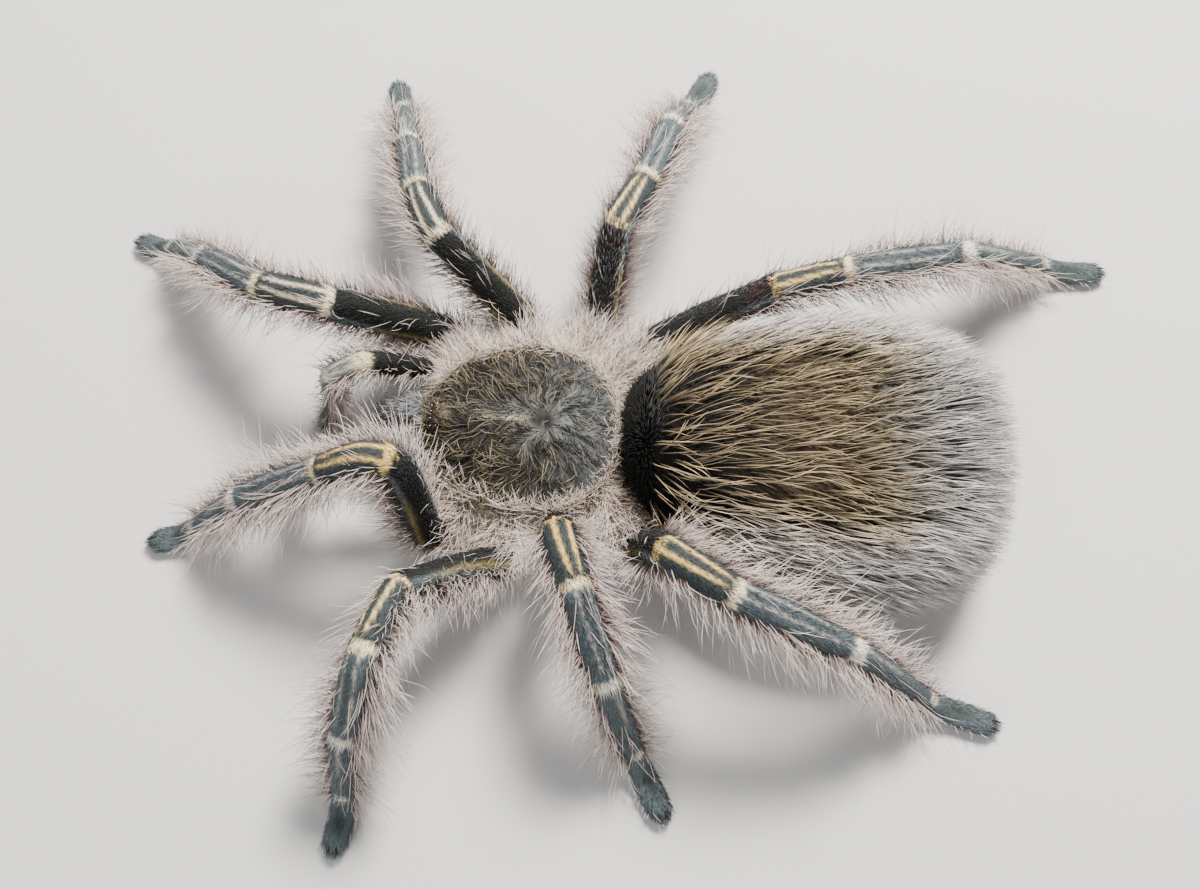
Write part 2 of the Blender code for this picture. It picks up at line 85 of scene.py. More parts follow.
# %% [markdown]
# All lengths below are millimetres, measured from the pit in the middle of the head shield. The head
# points to -Y and the left side is +X. The part was centred on the floor by its whole box, so the pit
# is not at the origin: the shield's own box tells where it went, and every mesh is moved there at the
# very end, when it is turned into metres.

# %% Where the pit is
MM = 0.001
SHIELD_MIDDLE = -3.0            # place of the shield's middle seen from the pit: 3 mm in front of it
shield_low, shield_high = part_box("carapace")
PIT = np.array([(shield_low.x + shield_high.x) / 2, (shield_low.y + shield_high.y) / 2, 0.0]) / MM
PIT[1] -= SHIELD_MIDDLE
BOX_LOW = np.array(cad_low) / MM - PIT
BOX_HIGH = np.array(cad_high) / MM - PIT
print("pit at", PIT.round(2))

# %% [markdown]
# ## Helpers
# The coat has more than a hundred thousand hairs, too many to place one by one in a loop. Numpy works
# on whole arrays at once, so each helper here takes an array of vectors, numbers or colours and gives
# one back. The smooth step, the bell and the wobble are all that the markings and the lie of the hair
# are made of.


# %% Small helpers for arrays
def unit(v):
    """Vectors divided by their own length."""
    return v / np.maximum(np.linalg.norm(v, axis=-1, keepdims=True), 1e-12)


def flat_on(v, normal):
    """The part of v that lies in the plane across a unit normal, made unit length."""
    return unit(v - normal * np.sum(v * normal, axis=-1, keepdims=True))


def read_between(at, places, table):
    """Rows of a table of vectors, each known at one place, read at any places in between."""
    return np.stack([np.interp(at, places, table[:, k]) for k in range(3)], axis=-1)


def gather(into, vectors, count):
    """Sum of the vectors that go into each of the count rows."""
    return np.stack([np.bincount(into, weights=vectors[:, k], minlength=count) for k in range(3)], axis=1)


def smooth(low, high, x):
    """0 below low, 1 above high and an S curve 3t^2 - 2t^3 between."""
    t = np.clip((x - low) / (high - low), 0.0, 1.0)
    return t * t * (3 - 2 * t)


def bump_at(x, middle, width):
    """A bell of height 1 round the middle: exp(-((x - middle) / width)^2)."""
    return np.exp(-((x - middle) / width) ** 2)


def mix(a, b, part):
    """Colours or vectors a and b blended by a part between 0 and 1."""
    part = np.asarray(part)[..., None]
    return a * (1 - part) + b * part


def layered(colour, *layers):
    """A colour under layers of other colours, each given with the part of it that covers."""
    for over, part in layers:
        colour = mix(colour, over, part)
    return colour


def wobble(points, size, seed):
    """A smooth pattern between about -1 and 1: six sine waves with random headings, added."""
    dice = np.random.default_rng(seed)
    heading = unit(dice.normal(size=(6, 3)))
    waves = heading * (2 * math.pi / size) * dice.uniform(0.7, 1.4, (6, 1))
    return np.sin(points @ waves.T + dice.uniform(0, 2 * math.pi, 6)).sum(axis=1) / 2.4


def paint(red, green, blue):
    """A colour given as seen on a screen, 0 to 255, turned into light: ((c + 0.055) / 1.055)^2.4."""
    c = np.array([red, green, blue]) / 255
    return np.where(c <= 0.04045, c / 12.92, ((c + 0.055) / 1.055) ** 2.4)


print("a smooth step from 0 to 1:", smooth(0, 1, np.linspace(0, 1, 5)).round(2))

# %% [markdown]
# ## The palette
# The colours of the living animal, by name. Skin and hair read the same names, so that a stripe
# on the knee is the same stripe whether a hair or the skin between two hairs shows it.

# %% Palette
VELVET = paint(27, 29, 28)
SLATE = paint(82, 93, 97)
SLATE_PALE = paint(128, 138, 142)
FOOT = paint(92, 103, 107)
FOOT_DARK = paint(44, 48, 40)
KNEE = paint(54, 61, 62)
TUFT_RED = paint(62, 36, 26)
GOLD = paint(238, 202, 120)
GOLD_PALE = paint(238, 222, 178)
OLIVE_GOLD = paint(160, 144, 88)
CREAM = paint(244, 234, 216)
PINK_PALE = paint(250, 242, 236)
PINK = paint(238, 216, 204)
PINK_DARK = paint(158, 130, 120)
TAN = paint(212, 188, 146)
HIP_GREY = paint(176, 160, 150)
SHIELD_DARK = paint(52, 46, 39)
SHIELD_HAIR = paint(202, 184, 148)
SHIELD_GREY = paint(98, 100, 99)
JAW = paint(118, 122, 126)
ABDOMEN_BLACK = paint(19, 18, 16)
ABDOMEN_BROWN = paint(74, 61, 46)
ABDOMEN_GREY = paint(112, 116, 110)
UNDERSIDE = paint(66, 54, 46)
print("light sent back by velvet and by cream:", VELVET.mean().round(3), CREAM.mean().round(3))

# %% [markdown]
# ## Limbs as paths
# A leg is a row of joints. Between them the leg runs straight, and at each joint it turns along a
# small arc. If we know, at every length s along that path, the middle point, the direction, and
# which way the leg's back faces, then any place on the leg is (s, phi), with phi = 0 on its back.
# Skin, stripes and hair roots all use these two numbers. A bent cylinder or a curve with a bevel
# would give the shape too, but not these numbers.

# %% Stance of the limbs
HIP_Z = 5.5                     # height of the hips
TIP_Z = 1.18                    # height of the foot's middle line
FOOT_FLAT = 0.6                 # part of the last segment that lies level
COXA_IN = {1: (5.2, -6.6), 2: (6.3, -2.9), 3: (6.3, 1.6), 4: (5.1, 5.7)}       # where each pair begins
HIP = {1: (14.5, -13.5), 2: (16.5, -4.5), 3: (17.0, 4.5), 4: (14.0, 13.0)}     # and where its thigh does
SEGMENTS = {                    # lengths of thigh, knee, shin, ankle and foot of each pair
    1: (20.4, 11.2, 13.6, 11.0, 7.2),
    2: (17.4, 9.8, 11.8, 11.4, 7.4),
    3: (13.8, 8.8, 11.8, 13.6, 8.6),
    4: (18.0, 10.0, 16.0, 18.4, 9.2),
}
FOOT_SLOPE = {1: -20, 2: -22, 3: -14, 4: -12}       # degrees
HIP_SHIFT = {(2, "right"): 0.8, (3, "right"): 1.8, (3, "left"): -0.5}       # backwards
POSE = {                        # headings of the five segments, then the rise of the first three, degrees
    (1, "left"): ((-155, -84, -81, -80, -76), (74, -33, -31)),
    (2, "left"): ((-56, -14, -20, -12, -10), (43, 29, -44)),
    (3, "left"): ((44, 20, 22, 30, 29), (99, 11, -30)),
    (4, "left"): ((19, 58, 73, 76, 75), (73, 6, -24)),
    (1, "right"): ((-106, -68, -56, -54, -69), (48, -21, -26)),
    (2, "right"): ((-62, -24, -16, -14, -17), (45, -18, -24)),
    (3, "right"): ((12, 26, 16, 15, 26), (54, -3, -17)),
    (4, "right"): ((73.5, 78.5, 76, 70, 88), (26, 13, -4)),
}
# Half widths and half depths, at the lengths that leg_places and palp_places give.
LEG_WIDE = (1.75, 2.4, 2.6, 2.6, 2.4, 2.6, 2.35, 2.4, 2.05, 2.0, 1.85, 2.2, 1.95)
LEG_DEEP = (1.75, 2.4, 2.5, 2.65, 2.45, 2.5, 2.3, 2.35, 2.0, 1.85, 1.6, 1.45, 1.35)
LEG_ROUNDING, LEG_TIP = 3.1, 1.8        # radius of the bends, length of the rounded tip
PALP_SEGMENTS = (11.8, 5.2, 6.8, 6.0)
PALP_POSE = {
    "left": ((-104, -82, -80, -80), (34, -8, -72)),
    "right": ((-111, -106, -116, -130), (43, -24, -84)),
}
PALP_START, PALP_HIP = (3.0, -10.3, HIP_Z), (9.0, -14.8, 6.2)
PALP_TIP_Z = 0.12
PALP_WIDE = (1.35, 1.7, 2.0, 1.8, 1.85, 1.7, 1.65, 1.45, 1.45, 1.3)
PALP_DEEP = (1.35, 1.7, 2.05, 1.85, 1.85, 1.7, 1.65, 1.45, 1.45, 1.3)
PALP_ROUNDING, PALP_TIP = 2.1, 1.2
SIGN = {"left": 1.0, "right": -1.0}
print("lengths from the hip:", {pair: round(sum(row), 1) for pair, row in SEGMENTS.items()})

# %% One limb
UP = np.array([0, 0, 1.0])
SAMPLES = 500                   # points kept along each limb's path
ARC_POINTS = 11
ARC_SHARE = 0.46                # the most that a bend may take of the segments beside it
TURN_POINTS = 9                 # directions are averaged over this many points
TIP_LEAST = 0.3                 # a rounded tip never gets thinner than this part


def heading_to(turn, rise):
    """Unit vector of a heading (0 sideways, 90 backward) and a rise, in degrees."""
    a, b = math.radians(turn), math.radians(rise)
    return np.array([math.cos(b) * math.cos(a), math.cos(b) * math.sin(a), math.sin(b)])


class Limb:
    """A tube round a path of joints: an ellipse of half width w and half depth d at each length s.

    A place is P(s) + w sin(phi) S(s) + d cos(phi) B(s), where B is the back and S the side of the limb.
    """

    def __init__(self, name, corners, rounding, places, wide, deep, rounded_tip):
        self.name, self.wide, self.deep, self.rounded_tip = name, wide, deep, rounded_tip
        points, middles = self.round_corners([np.array(c, float) for c in corners], rounding)
        length = np.concatenate([[0.0], np.cumsum(np.linalg.norm(np.diff(points, axis=0), axis=1))])
        self.joints = [float(length[m]) for m in middles]
        keep = np.concatenate([[True], np.diff(length) > 1e-9])
        points, length = points[keep], length[keep]
        self.total = float(length[-1])
        self.place_list = places(self.joints, self.total)
        self.s = np.linspace(0, self.total, SAMPLES)
        self.p = read_between(self.s, length, points)
        along = unit(np.gradient(self.p, axis=0))
        window = np.ones(TURN_POINTS) / TURN_POINTS
        padded = np.pad(along, ((TURN_POINTS // 2, TURN_POINTS // 2), (0, 0)), mode="edge")
        self.t = unit(np.stack([np.convolve(padded[:, k], window, "valid") for k in range(3)], axis=1))
        self.b = self.backs(corners)

    @staticmethod
    def round_corners(pts, rounding):
        """Path points with each inner corner replaced by an arc, and the number of each arc's middle."""
        points, middles = [pts[0]], []
        for a, b, c in zip(pts[:-2], pts[1:-1], pts[2:]):
            u, v = unit(a - b), unit(c - b)
            half = max((math.pi - math.acos(max(-1.0, min(1.0, float(u @ v))))) / 2, 0.01)
            room = ARC_SHARE * min(np.linalg.norm(a - b), np.linalg.norm(c - b))
            reach = min(rounding * math.tan(half), room)
            radius = reach / math.tan(half)
            inward, across = unit(u + v + 1e-9 * UP), unit(v - u)
            centre = b + inward * radius / math.cos(half)
            turn = half * np.linspace(-1, 1, ARC_POINTS)[:, None]
            points.extend(centre - inward * radius * np.cos(turn) + across * radius * np.sin(turn))
            middles.append(len(points) - 1 - ARC_POINTS // 2)
        points.append(pts[-1])
        return np.array(points), middles

    def backs(self, corners):
        """Which way the limb's back faces: up, and on the thigh away from the side the knee bends to."""
        run = [unit(np.array(b, float) - np.array(a, float)) for a, b in zip(corners[:-1], corners[1:])]
        wanted = [flat_on(UP, d) for d in run]
        wanted[1] = unit(flat_on(-run[2], run[1]) + 0.35 * flat_on(UP, run[1]))
        wanted[2] = unit(flat_on(run[1], run[2]) + 0.6 * flat_on(UP, run[2]))
        ends = [0.0, *self.joints, self.total]
        middles = [(a + b) / 2 for a, b in zip(ends[:-1], ends[1:])]
        return flat_on(read_between(self.s, middles, np.array(wanted)), self.t)

    def frame_at(self, s):
        """Middle point, direction, back and side at lengths s."""
        along = unit(read_between(s, self.s, self.t))
        back = flat_on(read_between(s, self.s, self.b), along)
        return read_between(s, self.s, self.p), along, back, np.cross(along, back)

    def girth(self, s):
        """Half width and half depth, drawn in at the rounded tip by sqrt(1 - t^2), and t itself."""
        wide, deep = np.interp(s, self.place_list, self.wide), np.interp(s, self.place_list, self.deep)
        t = np.clip((s - self.total + self.rounded_tip) / self.rounded_tip, 0, 1)
        close = np.sqrt(np.maximum(TIP_LEAST ** 2, 1 - t * t))
        return wide * close, deep * close, t

    def surface(self, s, phi, inset=0.0):
        """Places, outward normals and directions on the limb, a distance inside its outline."""
        p, along, back, side = self.frame_at(s)
        wide, deep, t = self.girth(s)
        wide, deep = wide - inset, deep - inset
        sine, cosine = np.sin(phi)[..., None], np.cos(phi)[..., None]
        place = p + side * wide[..., None] * sine + back * deep[..., None] * cosine
        out = unit(side * sine / wide[..., None] + back * cosine / deep[..., None])
        return place, unit(out + along * (t * t)[..., None] * 1.2), along

    def tube(self, end, rings, sides, inset=0.0):
        """Rings of places from the start to the length end, (rings, sides, 3)."""
        s = np.linspace(0.0, end, rings)[:, None] * np.ones((1, sides))
        phi = np.linspace(0, 2 * math.pi, sides + 1)[None, :-1] * np.ones((rings, 1))
        return self.surface(s, phi, inset)[0]

    def segment(self, s):
        """Number of the segment at each length and how far along it, 0 to 1; a foot pad is one segment."""
        ends = np.array([0.0, *self.joints[:5], self.total])
        number = np.clip(np.searchsorted(ends, s, side="right") - 1, 0, len(ends) - 2)
        return number, (s - ends[number]) / (ends[number + 1] - ends[number])


print("a heading of 90 with no rise is backward:", heading_to(90, 0).round(3))


# %% All ten limbs
def on_side(points, side):
    """Points of the left side, mirrored for the right."""
    return [p * np.array([SIGN[side], 1, 1]) for p in points]


def leg_corners(pair, side):
    """Joints of one leg; the next to last one lets the foot pad lie level on the floor."""
    turn, rise = POSE[(pair, side)]
    lengths = SEGMENTS[pair]
    shift = (0, HIP_SHIFT.get((pair, side), 0.0), 0)
    points = [np.array([*COXA_IN[pair], HIP_Z]), np.array([*HIP[pair], HIP_Z]) + shift]
    for k in range(3):
        points.append(points[-1] + lengths[k] * heading_to(turn[k], rise[k]))
    foot_start = TIP_Z - lengths[4] * math.sin(math.radians(FOOT_SLOPE[pair]))
    drop = math.degrees(math.asin((foot_start - points[-1][2]) / lengths[3]))
    points.append(points[-1] + lengths[3] * heading_to(turn[3], drop))
    tip = points[-1] + lengths[4] * heading_to(turn[4], FOOT_SLOPE[pair])
    flat = points[-1] + (tip - points[-1]) * (1 - FOOT_FLAT)
    flat[2] = TIP_Z
    return on_side(points + [flat, tip], side)


def palp_corners(side):
    """Joints of one feeler."""
    turn, rise = PALP_POSE[side]
    points = [np.array(PALP_START), np.array(PALP_HIP)]
    for k in range(3):
        points.append(points[-1] + PALP_SEGMENTS[k] * heading_to(turn[k], rise[k]))
    drop = math.degrees(math.asin((PALP_TIP_Z - points[-1][2]) / PALP_SEGMENTS[3]))
    points.append(points[-1] + PALP_SEGMENTS[3] * heading_to(turn[3], drop))
    return on_side(points, side)


def with_middles(ends):
    """The ends and the middle between each two of them."""
    return [place for a, b in zip(ends[:-1], ends[1:]) for place in (a, (a + b) / 2)] + [ends[-1]]


def leg_places(joints, total):
    """Lengths at which the leg's widths are given."""
    return [0, joints[0] * 0.45, *with_middles(joints[:5]), joints[5], total]


def palp_places(joints, total):
    """Lengths at which the feeler's widths are given."""
    return [0, *with_middles([*joints, total])]


LEGS = {(pair, side): Limb(f"leg_{pair}_{side}", leg_corners(pair, side), LEG_ROUNDING, leg_places,
                           LEG_WIDE, LEG_DEEP, LEG_TIP) for side in SIGN for pair in SEGMENTS}
PALPS = {side: Limb(f"palp_{side}", palp_corners(side), PALP_ROUNDING, palp_places,
                    PALP_WIDE, PALP_DEEP, PALP_TIP) for side in SIGN}
print("limb lengths:", {limb.name: round(limb.total, 1) for limb in [*LEGS.values(), *PALPS.values()]})

# %% [markdown]
# ## The body
# The abdomen is an egg given by how far back (t) and how far round (a). The shield is a dome over its
# rim. Both are the same formulas that the part was made from, so that skin and hair sit where the
# solids are.

# %% Abdomen and shield
ABDOMEN_START, ABDOMEN_LENGTH, ABDOMEN_HALF = 10.6, 46.2, 19.0
ABDOMEN_UP, ABDOMEN_DOWN = 13.2, 11.6
EGG_SWAY, EGG_DRIFT = 3.1, 1.0  # how far the egg bows to the left, and how far its rear end lies there
EGG_MIDDLE = (8.6, 11.2, 9.4)   # height of its middle line in front, at 0.45 of the length and behind
FRONT_IN, REAR_IN = 0.2, 0.85   # how much of an inset is taken at the front and the rear end
SHIELD_HALF_WIDE, SHIELD_HALF_LONG = 11.2, 12.5
RIM_Z, DOME_RISE = 8.9, 2.9
HEAD_Y, HEAD_RISE, HEAD_LONG, HEAD_WIDE = -8.5, 0.8, 5.0, 4.2
PIT_DEEP, PIT_LONG, PIT_WIDE = 0.9, 0.9, 1.5


def fullness(t, least):
    """Thickness of the egg along its length, 0 to 1: sqrt(1 - |2t - 1|^2.15), never below a least."""
    return np.sqrt(np.maximum(1 - np.abs(2 * t - 1) ** 2.15, least))


def egg_axis(t):
    """Sideways place and height of the egg's middle line, which sways a little to the left."""
    middle_x = EGG_SWAY * np.sin(math.pi * np.clip(t, 0, 1)) ** 0.8 + EGG_DRIFT * t
    return middle_x, np.interp(t, (0, 0.45, 1), EGG_MIDDLE)


def egg_ends(inset):
    """Where the egg starts and how long it is, an inset inside its outline."""
    return ABDOMEN_START + FRONT_IN * inset, ABDOMEN_LENGTH - (FRONT_IN + REAR_IN) * inset


def abdomen_place(t, a, inset=0.0, floor=0.0):
    """Egg: x = middle + W full cos a, z = middle + H full sin a, full being its thickness there."""
    full = fullness(t, 1e-6)
    middle_x, middle_z = egg_axis(t)
    tall = np.where(np.sin(a) > 0, ABDOMEN_UP, ABDOMEN_DOWN)
    start, length = egg_ends(inset)
    inset = inset * (0.3 + 0.7 * smooth(0.0, 0.25, t))
    z = middle_z + (tall - inset) * full * np.sin(a)
    x = middle_x + (ABDOMEN_HALF - inset) * full * np.cos(a)
    return np.stack([x, start + length * t, np.maximum(z, floor)], axis=-1)


def abdomen_surface(t, a, inset):
    """Places on the egg and normals, from the cross product of its two slopes."""
    step = 1e-3
    along = abdomen_place(t + step, a, inset) - abdomen_place(t - step, a, inset)
    round_it = abdomen_place(t, a + step, inset) - abdomen_place(t, a - step, inset)
    return abdomen_place(t, a, inset), unit(np.cross(along, round_it))


def shield_rim(angle):
    """Rim of the shield: x = W |sin a|^0.9 (1 - 0.12 cos a), y = middle - L cos a, front at a = 0."""
    sine, cosine = np.sin(angle), np.cos(angle)
    across = np.sign(sine) * np.abs(sine) ** 0.9
    return SHIELD_HALF_WIDE * across * (1 - 0.12 * cosine), SHIELD_MIDDLE - SHIELD_HALF_LONG * cosine


def shield_part(x, y):
    """How far out a place lies from the pit to the rim, 0 to 1 and beyond."""
    rim_x, rim_y = shield_rim(np.linspace(0, 2 * math.pi, 361))
    bearing = np.unwrap(np.arctan2(rim_x, -rim_y))
    reach = np.interp(np.arctan2(x, -y) % (2 * math.pi), bearing, np.hypot(rim_x, rim_y))
    return np.hypot(x, y) / reach


def shield_height(x, y, part):
    """Dome: rim + rise (1 - part^n), a raised head in front, and a pit in the middle."""
    front = (np.maximum(0.0, -y) / np.maximum(1e-6, np.hypot(x, y))) ** 3
    dome = DOME_RISE * (1 - part ** (2.6 + 6.4 * front))
    head = HEAD_RISE * np.exp(-((y - HEAD_Y) / HEAD_LONG) ** 2 - (x / HEAD_WIDE) ** 2) * (1 - part ** 6)
    pit = PIT_DEEP * np.exp(-(y / PIT_LONG) ** 2 - (x / PIT_WIDE) ** 2)
    return RIM_Z + dome + head - pit


print("abdomen top mm:", round(float(abdomen_place(np.array([0.5]), np.array([math.pi / 2]))[0, 2]), 2))

# %% [markdown]
# ## Markings
# Colour is a question with a simple answer at every place: which segment, how far along it, how far
# round. Bands are steps along a segment. Stripes are bells round a chosen phi. One function for the
# legs, one for the feelers and one for the abdomen colour the skin and every hair alike. A picture
# wrapped round the legs would need a seam and could not colour the hair.

# %% Markings of the limbs
GOLD_SHARE = {(1, "left"): 1.0, (2, "left"): 0.75, (3, "left"): 1.0, (4, "left"): 1.0,
              (1, "right"): 0.25, (2, "right"): 0.35, (3, "right"): 0.75, (4, "right"): 0.9}
LEG_BASE = np.array([HIP_GREY, VELVET, KNEE, SLATE, SLATE, FOOT])
PALP_BASE = np.array([HIP_GREY, VELVET, SLATE_PALE, SLATE, FOOT])
TUFTED = ("leg_3_left", "leg_4_left", "leg_3_right", "leg_4_right")      # a dark tuft where the thigh ends
ROLL = {"leg_3_left": -0.3, "leg_4_left": -0.25}        # how far the markings turn round the leg


def round_from_back(phi):
    """How far round from the back, 0 to pi, the same on both sides."""
    return np.abs((phi + math.pi) % (2 * math.pi) - math.pi)


def leg_colour(limb, s, phi, gold):
    """Bands are steps along a segment, stripes are bells round phi; gold tells how yellow they are."""
    number, t = limb.segment(s)
    a = round_from_back(phi - ROLL.get(limb.name, 0.0))
    tufted = limb.name in TUFTED
    bright = CREAM * (1 - gold) + GOLD * gold
    on = lambda k: (number == k).astype(float)
    line = mix(OLIVE_GOLD, SLATE_PALE * 0.8, smooth(0.4, 0.85, t))
    stripe = bump_at(a, 0.52 - 0.26 * t, 0.125 - 0.05 * t) * (1 - smooth(0.74, 0.9, t))
    return layered(
        LEG_BASE[number],
        # hip and thigh
        (VELVET, on(0) * smooth(0.74, 0.84, t) * (1 - smooth(1.6, 2.4, a))),
        (TUFT_RED, on(1) * 0.5 * tufted * bump_at(t, 0.88, 0.05)),
        (PINK_DARK, on(1) * 0.55 * smooth(2.2, 2.8, a)),
        (SLATE, on(1) * 0.7 * smooth(1.3, 1.7, a)),
        (line, on(1) * 0.65 * bump_at(a, 1.3, 0.2)),
        (bright, on(1) * smooth(0.965, 0.98, t) * (1 - tufted)),
        # knee
        (bright, on(2) * (1 - smooth(0.03 * tufted, 0.015 + 0.05 * tufted, t))),
        (bright, on(2) * np.clip(1.4 * stripe, 0, 1)),
        (SLATE_PALE, on(2) * 0.5 * smooth(1.3, 1.9, a)),
        (GOLD_PALE, on(2) * smooth(0.9, 0.93, t) * (1 - smooth(1.3, 1.9, a))),
        # shin
        (CREAM, on(3) * 0.42 * bump_at(a, 0.42, 0.08) * (1 - smooth(0.75, 0.85, t))),
        (VELVET, on(3) * 0.4 * bump_at(a, 0.0, 0.22) * (1 - smooth(0.7, 0.85, t))),
        (CREAM, on(3) * smooth(0.9, 0.93, t) * (1 - smooth(1.4, 2.0, a))),
        # ankle and foot
        (CREAM, on(4) * 0.4 * bump_at(a, 0.0, 0.16) * (1 - smooth(0.25, 0.6, t))),
        (CREAM, on(4) * 0.8 * smooth(0.88, 0.92, t) * (1 - smooth(0.5, 0.9, a))),
        (FOOT_DARK, on(5) * 0.9 * bump_at(a, 0.0, 0.85) * bump_at(t, 0.45, 0.3)))


def palp_colour(limb, s, phi):
    """The feeler's bands: black thigh with a pale rim, whitish knee, slate beyond."""
    number, t = limb.segment(s)
    a = round_from_back(phi)
    on = lambda k: (number == k).astype(float)
    return layered(
        PALP_BASE[number],
        (HIP_GREY, on(1) * (1 - smooth(0.02, 0.14, t))),
        (GOLD_PALE, on(1) * smooth(0.9, 0.95, t)),
        (GOLD_PALE, on(2) * (1 - smooth(0.1, 0.25, t))),
        (CREAM, on(2) * 0.85 * bump_at(a, 0.55, 0.25)),
        (CREAM, on(2) * smooth(0.82, 0.9, t)),
        (CREAM, on(3) * 0.5 * bump_at(a, 0.0, 0.3)))


some_leg = LEGS[(1, "left")]
down_the_leg = some_leg.total * np.linspace(0.2, 0.9, 4)
print("back of a leg, thigh to foot:", leg_colour(some_leg, down_the_leg, np.zeros(4), 1.0).round(2).tolist())


# %% Markings of the abdomen
def abdomen_colour(t, a):
    """Black in front, brown over the middle of the back, grey-green behind it, dark sides."""
    off_top = np.abs((a - math.pi / 2 + math.pi) % (2 * math.pi) - math.pi)
    return layered(
        ABDOMEN_BLACK,
        (ABDOMEN_BROWN, smooth(0.22, 0.5, t) * (1 - smooth(0.45, 0.8, off_top))),
        (ABDOMEN_GREY * 0.55, smooth(0.56, 0.76, t)),
        (UNDERSIDE * 0.55, smooth(0.75, 1.2, off_top) * smooth(0.1, 0.35, t)))


down_the_back = np.array([0.1, 0.5, 0.9])
print("abdomen, front to rear:", abdomen_colour(down_the_back, np.full(3, math.pi / 2)).round(2).tolist())

# %% [markdown]
# ## One skin
# A tube for every limb, an egg, a core under the shield and the jaws overlap each other. Joined by
# hand they would need dozens of clean seams. A voxel remesh instead reads all of them as one volume
# and wraps a single closed surface round it, and a few rounds of averaging with neighbours then melt
# the steps away. It has to happen in millimetres, because the remesh works in whole voxels.

# %% Closed surfaces
COAT_DEPTH = 0.5                # the legs' skin lies this far inside their outline
ABDOMEN_DEPTH = 2.2
VOXEL = 0.44


def outward(points, faces):
    """Faces turned so that the closed surface they bound has a positive volume."""
    a, b, c = (points[faces[:, k]] - points.mean(axis=0) for k in range(3))
    return faces if np.sum(a * np.cross(b, c)) > 0 else faces[:, ::-1]


def closed_grid(rings):
    """Points and faces of rings (R, S, 3) joined in order, a middle point closing each end."""
    count, sides = rings.shape[:2]
    points = np.concatenate([rings.reshape(-1, 3), rings[:1].mean(axis=1), rings[-1:].mean(axis=1)])
    i, j = np.meshgrid(np.arange(count - 1), np.arange(sides), indexing="ij")
    k = (j + 1) % sides
    one = np.stack([i * sides + j, i * sides + k, (i + 1) * sides + k], axis=-1).reshape(-1, 3)
    two = np.stack([i * sides + j, (i + 1) * sides + k, (i + 1) * sides + j], axis=-1).reshape(-1, 3)
    ring = np.arange(sides)
    after = (ring + 1) % sides
    first, last = count * sides, count * sides + 1
    start = np.stack([np.full(sides, first), after, ring], axis=1)
    end = np.stack([np.full(sides, last), (count - 1) * sides + ring, (count - 1) * sides + after], axis=1)
    return points, outward(points, np.concatenate([one, two, start, end]))


def joined(parts):
    """Several pairs of points and faces as one pair."""
    starts = np.cumsum([0] + [len(points) for points, _ in parts])
    return (np.concatenate([points for points, _ in parts]),
            np.concatenate([faces + start for (_, faces), start in zip(parts, starts)]))


def ellipsoid(middle, half, rings=40, sides=40, gap=0.04):
    """Middle + half * (sin p cos q, sin p sin q, cos p), p running from gap to pi - gap."""
    p = np.linspace(gap, math.pi - gap, rings)[:, None]
    q = np.linspace(0, 2 * math.pi, sides + 1)[None, :-1]
    grid = np.stack([np.sin(p) * np.cos(q), np.sin(p) * np.sin(q), np.cos(p) * np.ones_like(q)], axis=-1)
    return closed_grid(np.array(middle) + np.array(half) * grid)


def mesh_from(name, points, faces):
    """A mesh from whole arrays of points and of triangles or quads."""
    mesh = bpy.data.meshes.new(name)
    mesh.vertices.add(len(points))
    mesh.vertices.foreach_set("co", np.ascontiguousarray(points, np.float32).ravel())
    mesh.loops.add(faces.size)
    mesh.loops.foreach_set("vertex_index", np.ascontiguousarray(faces, np.int32).ravel())
    mesh.polygons.add(len(faces))
    mesh.polygons.foreach_set("loop_start", np.arange(0, faces.size, faces.shape[1], dtype=np.int32))
    mesh.update(calc_edges=True)
    return mesh


def put_in_scene(name, data):
    """An object at the origin that holds a mesh, a lamp or a camera."""
    thing = bpy.data.objects.new(name, data)
    bpy.context.scene.collection.objects.link(thing)
    return thing


def show(name, points, faces, finish, slot, colour=None):
    """A finished piece in metres and in place: object at the origin, smooth faces, colours on its points."""
    mesh = mesh_from(name, (points + PIT) * MM, faces)
    mesh.polygons.foreach_set("use_smooth", np.ones(len(faces), bool))
    if colour is not None:
        layer = mesh.color_attributes.new("markings", "FLOAT_COLOR", "POINT")
        opaque = np.hstack([colour, np.ones((len(colour), 1))])
        layer.data.foreach_set("color", opaque.astype(np.float32).ravel())
    mesh.materials.append(finish)
    piece = put_in_scene(name, mesh)
    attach(piece, "root")
    print(f"{name}: {len(faces)} faces")
    return piece


print("faces of a small ball:", len(ellipsoid((0, 0, 0), 1.0, 20)[1]))

# %% [markdown]
# ## The volumes under the skin
# Each limb's tube is drawn in by the depth of its short fur, and the egg by the depth of its long
# hair, because the packed solids reach out to the tips. The jaws, the spinnerets and later the fangs
# are short limbs too: they come forward or back and then turn, so their back faces one way all along.


# %% The volumes
TIP_CUT = 0.25                  # the tube ends this much before the tip, and a fan closes it
LIMB_FLOOR, EGG_FLOOR = 0.12, 1.3       # lowest heights of the limbs' and the abdomen's skin
JAW_DEPTH, SPINNERET_DEPTH = 0.35, 0.05         # depth of the coat of the jaws and the spinnerets


class ShortLimb(Limb):
    """A short limb whose back faces up and forward all along."""

    def backs(self, corners):
        """One direction for the whole limb, whatever its corners."""
        return flat_on(np.tile(unit(UP + (0, -0.8, 0)), (len(self.s), 1)), self.t)


def jaw_places(joints, total):
    """Shares of the length at which the jaw's widths are given."""
    return [e * total for e in (0.0, 0.22, 0.3, 0.6, 0.88, 1.0)]


def joint_places(joints, total):
    """The two ends and the joints between them."""
    return [0, *joints, total]


def limb_volume(limb, inset):
    """The limb's tube drawn in, and kept just above the floor."""
    place = limb.tube(limb.total - TIP_CUT, rings=150, sides=20, inset=inset)
    place[..., 2] = np.maximum(place[..., 2], LIMB_FLOOR)
    return closed_grid(place)


